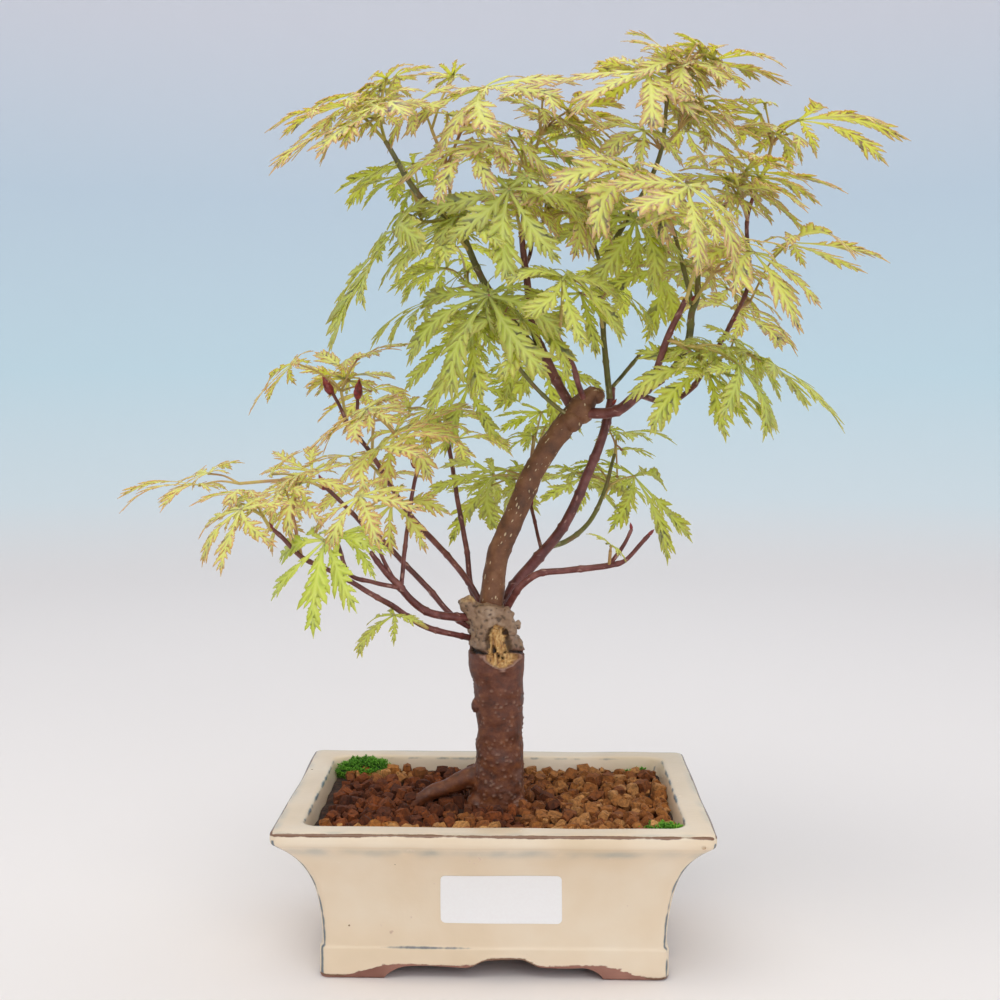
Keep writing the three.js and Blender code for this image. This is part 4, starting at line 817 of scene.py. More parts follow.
rng = np.random.default_rng(11)
pore_list = [(rng.uniform(-math.pi, math.pi), 61 + 56 * rng.uniform() ** 1.3, rng.uniform(0.3, 0.7)) for _ in range(380)]
moved = np.empty_like(spots)
for i, (spot_at, way) in enumerate(zip(spots, normals)):
    x, y, z = spot_at
    turn = math.atan2(y, x)
    frayed = noise.noise(Vector((x / 2.2, y / 2.2, z / 2.2)))
    crease = noise.noise(Vector((2.2 * math.cos(turn), 2.2 * math.sin(turn), z / 1.7)))
    swell_here = noise.noise(Vector((x / 9, y / 9, z / 7)))
    wrinkled = noise.noise(Vector((x / 1.7, y / 1.7, z / 1.3)))
    above = float(soft_step(129, 133, z + 1.5 * frayed))
    rise = 0.09 * crease + 0.75 * swell_here + 0.14 * frayed + above * (0.55 * frayed + 0.4 * wrinkled)
    # The arch of rotted wood, wide above and pointed below, seen from the front.
    left_at = np.interp(z, [123.3, 124.6, 126, 127.4, 131, 137.5, 140, 141.5, 142.5],
                        [2.8, -0.5, -3.5, -5, -5, -4.8, -3.4, -1.5, 0.4])
    right_at = np.interp(z, [123.3, 124.6, 126, 127.4, 129, 131, 134.5, 137.5, 140, 141.5, 142.5],
                         [2.8, 5.5, 8, 10, 9.5, 7, 6.1, 5.2, 4.2, 2.5, 0.4])
    inside = (min(x - left_at, right_at - x) + 1.1 * frayed) if y < -1.5 and 122.3 < z < 144 else -9.0
    mask = float(soft_step(0.0, 0.9, inside))
    splinter = noise.noise(Vector((x / 1.1, y / 1.1, z / 4.0)))
    crumbly = noise.noise(Vector((x / 1.3, y / 1.3, z / 1.2)))
    hollow = np.interp(z, [120, 124, 129, 133, 141], [-0.9, -1.7, -2.6, -3.3, -2.4])
    rise += mask * (hollow + 0.8 * splinter + 1.4 * crumbly - rise)
    beside = float(soft_step(-1.8, -0.3, inside) * (1 - soft_step(-0.3, 0.6, inside)))
    rise += (1.0 if z < 129 else 0.4) * beside
    hole = math.hypot((x + 1.8) / 1.5, (z - 132.6) / 2.0) + 0.3 * frayed
    deep = float(1 - soft_step(0.6, 1.15, hole)) if y < -3 else 0.0
    low_holes = min(math.hypot(x - 4.0, z - 127.7), math.hypot(x - 1.5, z - 128.6), math.hypot(x - 5.4, z - 130.6))
    deep = max(deep, float(1 - soft_step(0.35, 0.95, low_holes)) if y < -5 else 0.0)
    # Crevices run out from both sides of the hollow, where the callus meets the wider trunk below.
    left_crack = abs(z - 130.4 - 0.5 * frayed) / 0.9 if -13 < x < -4.2 and y < 2 else 9.0
    right_crack = abs(z - 131 + 0.36 * (x - 7) - 0.5 * frayed) / 0.9 if 6.4 < x < 14 and y < 2 else 9.0
    rim_gap = abs(inside - 0.25) / 0.55 if z > 131.5 and (x < -1 or x > 3.5) else 9.0
    crevice = float(1 - soft_step(0.45, 1.15, min(left_crack, right_crack)))
    deep = max(deep, crevice, 0.8 * float(1 - soft_step(0.4, 1.2, rim_gap)))
    rise -= 2.4 * deep
    sawn = float(soft_step(151.2, 152.6, z)) if x < -8.5 else 0.0
    notch = math.hypot((x - 11) / 1.6, (z - 104.5) / 1.2)
    rise -= 0.9 * float(1 - soft_step(0.4, 1.1, notch)) * (y < 2)
    pore = 0.0
    if z < 118 and x > -13:
        for p_turn, p_z, p_size in pore_list:
            if abs(z - p_z) < 1.6:
                off = abs((turn - p_turn + math.pi) % (2 * math.pi) - math.pi) * 10.5
                pore = max(pore, float(1 - soft_step(0.35 * p_size, 1.1 * p_size, math.hypot(off / 1.4, z - p_z))))
    rise += 0.42 * pore
    moved[i] = spot_at + np.array(way) * rise
    rotten[i] = max(mask, 0.6 * sawn)
    callused[i] = above * (1 - mask)
    # Painted shade: near-black in the holes, the crevices and the gap round the callus. The callus and the rotted wood
    # also get dark patches of their own.
    hole_shade_and_dark_patches[i] = max(deep, above * (1 - mask) * 0.7 * float(soft_step(0.22, 0.5, -wrinkled)), 0.55 * mask * float(soft_step(0.15, 0.45, -splinter)))
    lips[i] = beside * (z < 130)
    pores[i] = pore
trunk.data.vertices.foreach_set("co", (moved * MM).ravel())
trunk.data.update()
trunk.data.polygons.foreach_set("use_smooth", [True] * len(trunk.data.polygons))
for name, values in (("rotten", rotten), ("callus", callused), ("dark", hole_shade_and_dark_patches), ("pore", pores), ("lip", lips)):
    store(trunk, name, values)

# Old maple bark, dry and close-grained: red-brown with a purple cast, corky pores tinted paler as painted highlight,
# grey callus above, and fibrous tan wood where the wound has rotted; its holes and crevices are painted near-black as
# shade.
old_bark, tree, shader = new_material("old_maple_bark")
spot = add_node(tree, "ShaderNodeTexCoord").outputs["Object"]
banded = add_node(tree, "ShaderNodeMapping", {"Scale": (0.75, 0.75, 1.05)}, {"Vector": spot}).outputs[0]
bands = add_node(tree, "ShaderNodeTexNoise", {"Scale": 260.0, "Detail": 6.0, "Roughness": 0.62},
                 {"Vector": banded}).outputs["Fac"]
blotch = add_node(tree, "ShaderNodeTexNoise", {"Scale": 75.0, "Detail": 4.0}, {"Vector": spot}).outputs["Fac"]
grain = add_node(tree, "ShaderNodeTexNoise", {"Scale": 800.0, "Detail": 4.0}, {"Vector": spot}).outputs["Fac"]
upward = add_node(tree, "ShaderNodeSeparateXYZ", links={0: spot}).outputs["Z"]
up_share = add_node(tree, "ShaderNodeMapRange", {1: 0.062, 2: 0.128}, {0: upward}).outputs[0]
lower = add_node(tree, "ShaderNodeValToRGB", links={0: bands}, ramp=[(0.3, "#43200e"), (0.5, "#683414"), (0.7, "#884e22")]).outputs[0]
upper = add_node(tree, "ShaderNodeValToRGB", links={0: bands}, ramp=[(0.3, "#45241a"), (0.5, "#643524"), (0.72, "#82503b")]).outputs[0]
climb = add_node(tree, "ShaderNodeMix", links={0: up_share, 6: lower, 7: upper}, data_type="RGBA").outputs[2]
lichen = add_node(tree, "ShaderNodeMapRange", {1: 0.62, 2: 0.76, 3: 0.0, 4: 0.25}, {0: blotch}).outputs[0]
weathered = add_node(tree, "ShaderNodeMix", {7: linear("#a58b84")}, {0: lichen, 6: climb},
                     data_type="RGBA").outputs[2]
callus = add_node(tree, "ShaderNodeAttribute", attribute_name="callus").outputs["Fac"]
grey = add_node(tree, "ShaderNodeValToRGB", links={0: blotch}, ramp=[(0.3, "#7f5f49"), (0.5, "#a08369"), (0.7, "#bda593")]).outputs[0]
healed = add_node(tree, "ShaderNodeMix", links={0: callus, 6: weathered, 7: grey}, data_type="RGBA").outputs[2]
# The raised pores are tinted paler as a painted highlight on their tops.
pore = add_node(tree, "ShaderNodeAttribute", attribute_name="pore").outputs["Fac"]
pore_highlight_share = add_node(tree, "ShaderNodeMath", {1: 0.5}, {0: pore}, operation="MULTIPLY").outputs[0]
with_pore_highlights = add_node(tree, "ShaderNodeMix", {7: linear("#a5806a")}, {0: pore_highlight_share, 6: healed},
                  data_type="RGBA").outputs[2]
lip_share = add_node(tree, "ShaderNodeAttribute", attribute_name="lip").outputs["Fac"]
lipped = add_node(tree, "ShaderNodeMix", {7: linear("#a37d6c")}, {0: lip_share, 6: with_pore_highlights}, data_type="RGBA").outputs[2]
rot = add_node(tree, "ShaderNodeAttribute", attribute_name="rotten").outputs["Fac"]
fibred = add_node(tree, "ShaderNodeMapping", {"Scale": (1.6, 1.6, 0.3)}, {"Vector": spot}).outputs[0]
fibre = add_node(tree, "ShaderNodeTexNoise", {"Scale": 420.0, "Detail": 5.0}, {"Vector": fibred}).outputs["Fac"]
tan_wood = add_node(tree, "ShaderNodeValToRGB", links={0: fibre}, ramp=[(0.32, "#84592f"), (0.46, "#bd8c50"), (0.68, "#e0bb7e")]).outputs[0]
opened = add_node(tree, "ShaderNodeMix", links={0: rot, 6: lipped, 7: tan_wood}, data_type="RGBA").outputs[2]
# Near-black painted shade in holes and crevices, with dark patches of their own on the callus and the rotted wood.
hole_shade_and_dark_patch_mark = add_node(tree, "ShaderNodeAttribute", attribute_name="dark").outputs["Fac"]
tree.links.new(add_node(tree, "ShaderNodeMix", {7: linear("#2b1a10")}, {0: hole_shade_and_dark_patch_mark, 6: opened},
                        data_type="RGBA").outputs[2], shader.inputs["Base Color"])
tree.links.new(add_node(tree, "ShaderNodeMapRange", {1: 0.3, 2: 0.7, 3: 0.4, 4: 0.66}, {0: bands}).outputs[0],
               shader.inputs["Roughness"])
coarse = add_node(tree, "ShaderNodeBump", {"Strength": 0.28, "Distance": 0.0007}, {"Height": bands})
fine = add_node(tree, "ShaderNodeBump", {"Strength": 0.35, "Distance": 0.0004},
                {"Height": grain, "Normal": coarse.outputs[0]})
tree.links.new(fine.outputs[0], shader.inputs["Normal"])
trunk.data.materials.clear()
trunk.data.materials.append(old_bark)
belongs(trunk, "bark_old", "trunk")

# ---- Branches ----
# Shoots kept when the tree was trained. The leader is brown and thick as a pencil, the others are the
# dark red or olive wood of the last three years, ringed at each pair of buds.

BRANCHES = [
    ("leader", "bark_brown", [
        ([[-3, 0.5, 86], [-2, 0.5, 96], [1, 1, 113], [9, 2, 132], [18, 3, 152], [30, 3, 169], [37, 3, 177], [43, 3, 184]],
         [5.4, 5.2, 4.9, 4.8, 4.7, 4.9, 5.6, 3.4]),
    ]),
    ("secondary_stem", "bark_red", [
        ([[-2, 5, 84], [4, 9, 90], [8, 11, 97], [19, 12, 110], [30, 13, 124], [40, 15, 146], [46, 16, 161], [50, 18, 176], [51, 20, 185]],
         [2.8, 2.8, 2.7, 2.5, 2.3, 2.2, 2.1, 2, 1.6]),
    ]),
    ("low_right_branch", "bark_red", [
        ([[2, 4, 83], [6.5, -1, 92], [10.5, -7, 99], [18, -11, 105], [31, -14, 107], [48, -20, 110], [54, -22, 112], [60, -26, 119], [64, -28, 124]],
         [1.7, 1.6, 1.6, 1.5, 1.4, 1.3, 1, 0.9, 0.8]),
        ([[48, -20, 110], [54, -22, 119], [57, -24, 126]],
         [1, 0.8, 0.7]),
    ]),
    ("left_back_branch", "bark_red", [
        ([[-4, 2, 84], [-11, 10, 93], [-14, 20, 111], [-19, 30, 135], [-23, 38, 157], [-26, 42, 168]],
         [1.4, 1.3, 1.2, 1.1, 1, 0.8]),
    ]),
    ("left_middle_branch", "bark_red", [
        ([[-4, 1, 85], [-13, 7, 99], [-22, 14, 109], [-40, 22, 127], [-45, 24, 134], [-51, 28, 143], [-58, 30, 154], [-71, 34, 170]],
         [1.5, 1.4, 1.4, 1.3, 1.3, 1.2, 1.1, 0.9]),
        ([[-69.5, 33.5, 168], [-74, 33, 178], [-77, 32, 184]], [0.9, 0.8, 0.8]),
        ([[-67, 33, 165], [-65, 32, 174], [-64.4, 30, 182]], [0.9, 0.8, 0.8]),
    ]),
    ("left_upper_branch", "bark_red", [
        ([[-2, 3, 77], [-11.5, 0, 79.6], [-20, -4, 86], [-30, -2, 97], [-40, 0, 107], [-51, 2, 118], [-57, 4, 122], [-64, 6, 129], [-77, 10, 141]],
         [1.4, 1.4, 1.3, 1.3, 1.2, 1.2, 1.1, 1, 0.9]),
    ]),
    ("left_arch", "bark_red", [
        ([[-4, 2, 82], [-13, -2.5, 84.4], [-20, -10, 86], [-29, -17, 89], [-36, -22, 95], [-41, -26, 102], [-46, -30, 108], [-52, -34, 117]],
         [1.9, 1.8, 1.8, 1.7, 1.6, 1.6, 1.3, 1]),
        ([[-40, -25, 101], [-39, -24, 113], [-37, -20, 130], [-35, -16, 145], [-33, -14, 152]],
         [1, 0.9, 0.8]),
        ([[-43, -28, 105], [-47, -32, 114], [-51, -38, 129]],
         [0.9, 0.8, 0.8]),
        ([[-41, -26, 101], [-51, -32, 104], [-60, -38, 108], [-64, -44, 121]],
         [1, 0.9, 0.9, 0.8]),
    ]),
    ("left_lower_branch", "bark_red", [
        ([[-2, 3, 72.5], [-11, 0, 74.8], [-18, -10, 78], [-29, -21, 83], [-37, -28, 89], [-43, -32, 94], [-53, -38, 101], [-64, -45, 109], [-78, -51, 117], [-85, -54, 125], [-89, -56, 129]],
         [1.4, 1.4, 1.3, 1.3, 1.2, 1.2, 1.1, 1, 1, 0.9, 0.8]),
    ]),
    ("crown_stem_left", "bark_red", [
        ([[34, 4, 174], [27, 8, 186], [21, 10, 198], [16, 8, 210], [13, 4, 229], [11, 2, 244], [10, 0, 252]],
         [2.3, 2.1, 2.3, 1.8, 1.6, 1.4, 1.1]),
        ([[12, 3, 238], [14, 8, 243], [15, 11, 250]],
         [1, 0.9, 0.8]),
    ]),
    ("crown_branch_left", "bark_green", [
        ([[21, 10, 197], [8, 4, 212], [-5, 0, 229], [-18, -6, 254], [-33, -10, 266], [-47, -14, 288]],
         [1.6, 1.5, 1.5, 1.4, 1.3, 1]),
    ]),
    ("crown_twig_front", "bark_green", [
        ([[32, 2, 172], [24, -3, 178], [14, -7, 188], [3, -12, 202]],
         [1, 0.9, 0.9, 0.8]),
    ]),
    ("crown_twig_dark", "bark_red", [
        ([[38, 2, 179], [35, -8, 186], [32, -12, 195], [26, -20, 206]],
         [1.4, 1.3, 1.3, 0.9]),
    ]),
    ("right_arch", "bark_red", [
        ([[37, 2, 174], [51, -6, 175], [61, -12, 183], [70, -16, 189]],
         [2.4, 2.3, 2.4, 1.8]),
    ]),
    ("right_stem_front", "bark_red", [
        ([[66, -14, 187], [71, -26, 206], [77, -36, 221]],
         [1.6, 1.4, 1.1]),
    ]),
    ("right_stem_back", "bark_green", [
        ([[67, -14, 187], [76, -8, 194], [82, -4, 205], [84, 0, 218], [86, 1, 223], [87, 4, 239]],
         [1.6, 1.6, 1.6, 1.5, 1.4, 1]),
        ([[84, 0, 221], [81, 6, 236], [78, 12, 250], [76, 16, 258]],
         [1.1, 1, 0.9, 0.8]),
    ]),
    ("right_shoot", "bark_red", [
        ([[61, -12, 182], [74, -2, 179], [85, 6, 185], [93, 12, 196], [104, 21, 214], [113, 30, 233], [112, 30, 262], [120, 26, 285]],
         [1.3, 1.2, 1.2, 1.1, 1, 1, 0.9, 0.8]),
    ]),
    ("crown_stem_middle", "bark_green", [
        ([[50, 18, 180], [47, 22, 211], [46, 20, 238], [55, 14, 256], [65, 8, 273], [70, 2, 287], [72, -2, 309]],
         [1.4, 1.3, 1.3, 1.2, 1.1, 1, 0.8]),
        ([[50, 19, 184], [58, 24, 193], [64, 27, 200]],
         [0.9, 0.9, 0.8]),
        ([[46, 20, 238], [43, 23, 248], [42, 24, 256]],
         [1, 0.9, 0.8]),
    ]),
    ("side_twig", "bark_red", [
        ([[20, 12, 111], [18, 19, 119], [15, 26, 131]],
         [0.9, 0.8, 0.8]),
    ]),
    ("side_shoot", "bark_green", [
        ([[23, 12, 114], [31, 18, 116], [41, 26, 123], [48, 34, 135], [54, 42, 154]],
         [1.3, 1.2, 1.1, 1, 0.8]),
    ]),
]


def bark(name, dark, middle, pale, fleck, shine, fleck_scale):
    """Young bark: colour by noise, with pale pores (lenticels) as short dashes drawn out along the shoot."""
    made, tree, shader = new_material(name)
    flat = add_node(tree, "ShaderNodeUVMap", uv_map="round_and_along").outputs[0]
    spot = add_node(tree, "ShaderNodeTexCoord").outputs["Object"]
    drawn = add_node(tree, "ShaderNodeTexNoise", {"Scale": 150.0, "Detail": 5.0, "Roughness": 0.6},
                     {"Vector": spot}).outputs["Fac"]
    base = add_node(tree, "ShaderNodeValToRGB", links={0: drawn}, ramp=[(0.3, dark), (0.5, middle), (0.72, pale)]).outputs[0]
    stretched = add_node(tree, "ShaderNodeMapping", {"Scale": (1.5, 0.6, 1)}, {"Vector": flat}).outputs[0]
    cells = add_node(tree, "ShaderNodeTexVoronoi", {"Scale": fleck_scale}, {"Vector": stretched})
    lot = add_node(tree, "ShaderNodeSeparateColor", links={0: cells.outputs["Color"]}).outputs[0]
    size = add_node(tree, "ShaderNodeMapRange", {1: 0.1, 2: 1.0, 3: 0.0, 4: 0.36}, {0: lot}).outputs[0]
    near = add_node(tree, "ShaderNodeMath", links={0: size, 1: cells.outputs["Distance"]},
                    operation="SUBTRACT").outputs[0]
    dash = add_node(tree, "ShaderNodeMapRange", {1: 0.0, 2: 0.1}, {0: near}).outputs[0]
    dash_share = add_node(tree, "ShaderNodeMath", {1: 0.85}, {0: dash}, operation="MULTIPLY").outputs[0]
    tree.links.new(add_node(tree, "ShaderNodeMix", {7: linear(fleck)}, {0: dash_share, 6: base},
                            data_type="RGBA").outputs[2], shader.inputs["Base Color"])
    shader.inputs["Roughness"].default_value = shine
    both = add_node(tree, "ShaderNodeMath", {1: 0.5}, {0: dash, 2: drawn}, operation="MULTIPLY_ADD").outputs[0]
    raised = add_node(tree, "ShaderNodeBump", {"Strength": 0.45, "Distance": 0.0004}, {"Height": both})
    tree.links.new(raised.outputs[0], shader.inputs["Normal"])
    return made


barks = {
    # Three-year wood: matt brown bark with rows of pale corky pores.
    "bark_brown": bark("brown_maple_bark", "#553521", "#74492d", "#8e6343", "#d3bd98", 0.6, 560.0),
    # Two-year shoots: smooth dark red-brown, a little waxy.
    "bark_red": bark("dark_red_maple_bark", "#4a2320", "#6e3934", "#8c5850", "#a57a6e", 0.4, 380.0),
    # Last year's shoots: smooth olive green, shaded red where the sun reaches.
    "bark_green": bark("olive_maple_bark", "#4f4a26", "#737036", "#7d5440", "#a39a70", 0.42, 380.0),
}


def joint_swell(pitch, amount, reach):
    """Slight rings where buds and old leaf scars sit, at a regular pitch."""
    return lambda length: amount * math.exp(-(((length + pitch / 2) % pitch - pitch / 2) / reach) ** 2)


def branch_piece(name, stems, finish, extra=()):
    whole = ([], [])
    flat = []
    for points, radii in stems:
        thick = max(radii) > 4
        pitch = 17 if not thick else 29
        made = stem_tube(over_soil(points), radii, pitch=1.0 if thick else 1.3, sides=28 if thick else 14,
                         swell=joint_swell(pitch, 0.07 if thick else 0.2, 1.6 if thick else 0.9))
        shaken = []
        for p, along in zip(made[0], made[2]):
            shake = noise.noise_vector(Vector(p) / 6.5) * (0.5 if thick else 0.16)
            fine_shake = noise.noise_vector(Vector(p) / 1.9) * (0.16 if thick else 0.04)
            shaken.append(p + shake + fine_shake)
        add_shape(whole, (shaken, made[1]))
        flat += list(zip(made[3], made[2]))
    for part in extra:
        add_shape(whole, part)
        flat += [(p[0], p[2]) for p in part[0]]
    piece = new_piece(name + "_wood", *whole)
    unrolled = piece.data.uv_layers.new(name="round_and_along")
    corner = np.zeros(len(piece.data.loops), dtype=np.int32)
    piece.data.loops.foreach_get("vertex_index", corner)
    unrolled.data.foreach_set("uv", (np.array(flat)[corner] * MM).ravel())
    piece.data.materials.append(barks[finish])
    belongs(piece, finish, name)


fork_knots = [knob((36.5, 2.5, 235.5), (6.3, 5.6, 6.5)), knob((43.2, 3, 241.5), (3.8, 3.6, 3.6)),
              knob((32.5, 1, 230.5), (4.8, 4.6, 5))]
for name, finish, stems in BRANCHES:
    branch_piece(name, stems, finish, fork_knots if name == "leader" else ())

# ---- Buds ----
# Plump red winter buds left in pairs where a shoot was cut or has just opened its leaves.

BUDS = [
    ((-77, 10, 140.5), (-0.5, 0.2, 1), 6.5), ((-76.5, 9.9, 140), (-1, 0.1, 0.35), 4.6),
    ((-77, 32, 182.5), (-0.5, 0, 1), 8.5), ((-64.4, 30, 180.5), (0.1, 0, 1), 8.5),
    ((-58, 30, 154.5), (0.3, -0.4, 1), 3.2), ((-33, -14, 152), (0.3, -0.3, 1), 3.4),
    ((-35, -14.5, 151), (-0.6, -0.3, 0.8), 3.0), ((-89, -56, 129), (-0.6, -0.3, 1), 4.0),
    ((-64, -44, 121), (-0.3, -0.3, 1), 3.4), ((-51, -38, 129), (0.4, -0.2, 1), 3.2),
    ((84, 0, 223), (0.9, -0.4, 0.7), 4.6), ((50, -3, 178), (0.6, 0.4, 0.8), 3.2),
    ((64, -28, 124), (0.7, -0.2, 0.8), 3.4), ((57, -24, 126), (-0.2, -0.2, 1), 3.0),
    ((10, 0, 252), (0.4, -0.2, 1), 4.0), ((21.5, 7.5, 199), (-0.7, -0.4, 0.5), 3.6),
    ((15, 26, 131), (0.3, 0.1, 1), 3.2), ((104, 21, 214), (0.8, 0.1, 0.6), 3.2),
    ((-23, 38, 157), (-0.7, 0.2, 0.6), 3.0), ((46, 20, 238), (-0.6, -0.5, 0.6), 3.0),
    ((42, 24, 256), (-0.1, 0.1, 1), 4.2), ((71, -26, 206), (0.6, -0.5, 0.5), 3.4),
]


def bud_shape(at, way, length):
    """A pointed egg of overlapping scales, from its base along a way."""
    axis = Vector(way).normalized()
    across = axis.orthogonal().normalized()
    third = axis.cross(across)
    verts, faces = [], []
    profile = [(-0.12, 0.13), (0.0, 0.19), (0.2, 0.245), (0.33, 0.235), (0.36, 0.205), (0.55, 0.19), (0.7, 0.135),
               (0.73, 0.11), (0.88, 0.065), (1.0, 0.012)]
    spokes = 12
    for along, wide in profile:
        for s in range(spokes):
            turn = 2 * math.pi * s / spokes
            fold = 1 + 0.08 * math.cos(2 * turn + (1.5 if 0.34 < along < 0.71 else 0))
            out = (across * math.cos(turn) + third * math.sin(turn)) * wide * fold
            verts.append(Vector(at) + (axis * along + out) * length)
    for row in range(len(profile) - 1):
        for s in range(spokes):
            n = (s + 1) % spokes
            faces.append((row * spokes + s, row * spokes + n, (row + 1) * spokes + n, (row + 1) * spokes + s))
    faces.append(tuple(range(spokes))[::-1])
    faces.append(tuple(range(len(verts) - spokes, len(verts))))
    return verts, faces


crowd = ([], [])
for at, way, length in BUDS:
    add_shape(crowd, bud_shape((at[0], at[1], at[2] + SOIL_LEVEL), way, length))
buds = new_piece("winter_buds", *crowd)

# Bud scales: smooth, slightly shiny, crimson streaked darker and lighter.
bud_red, tree, shader = new_material("crimson_bud_scales")
spot = add_node(tree, "ShaderNodeTexCoord").outputs["Object"]
streak = add_node(tree, "ShaderNodeTexNoise", {"Scale": 600.0, "Detail": 3.0}, {"Vector": spot}).outputs["Fac"]
tree.links.new(add_node(tree, "ShaderNodeValToRGB", links={0: streak}, ramp=[(0.3, "#57191a"), (0.55, "#8a2a28"), (0.75, "#a94a3c")]).outputs[0],
               shader.inputs["Base Color"])
shader.inputs["Roughness"].default_value = 0.38
buds.data.materials.append(bud_red)
belongs(buds, "bark_red")

# ---- Leaves ----
# Laceleaf maple blades: seven narrow lobes cut nearly to the leaf stalk, each one cut again into forward
# pointing, saw-edged teeth. New leaves are lime green with pink-brown edges and pale yellow midribs.

LOBES = [(-122, 0.42), (-79, 0.74), (-39, 0.93), (0, 1), (39, 0.93), (79, 0.74), (122, 0.42)]


def blade_frame(at, tip):
    """Hub, length and axes of a blade whose middle lobe ends at tip and whose face looks up and out."""
    hub = Vector(at)
    along = Vector(tip) - hub
    length = along.length
    along.normalize()
    face = Vector((0, 0, 0.85)) + Vector((at[0], at[1], 0)).normalized() * 0.5
    normal = (face - along * face.dot(along)).normalized()
    return hub, length, along, normal.cross(along), normal


class Blade:
    """Points with their distance from the nearest vein, nearness to the edge and place along the lobe."""

    def __init__(self):
        self.points, self.faces, self.vein, self.edge, self.reach = [], [], [], [], []

    def add(self, point, vein, edge, reach):
        self.points.append(point)
        self.vein.append(vein)
        self.edge.append(edge)
        self.reach.append(reach)
        return len(self.points) - 1

    def zip_between(self, rib, rim, flip):
        """Triangles between a row of vein points and a row of edge points, each a list of (place, index)."""
        i = j = 0
        while i < len(rib) - 1 or j < len(rim) - 1:
            step_rim = j < len(rim) - 1 and (i == len(rib) - 1 or rim[j + 1][0] <= rib[i + 1][0])
            face = (rib[i][1], rim[j][1], rim[j + 1][1]) if step_rim else (rib[i][1], rim[j][1], rib[i + 1][1])
            if len(set(face)) == 3:
                self.faces.append(face[::-1] if flip else face)
            i, j = (i, j + 1) if step_rim else (i + 1, j)


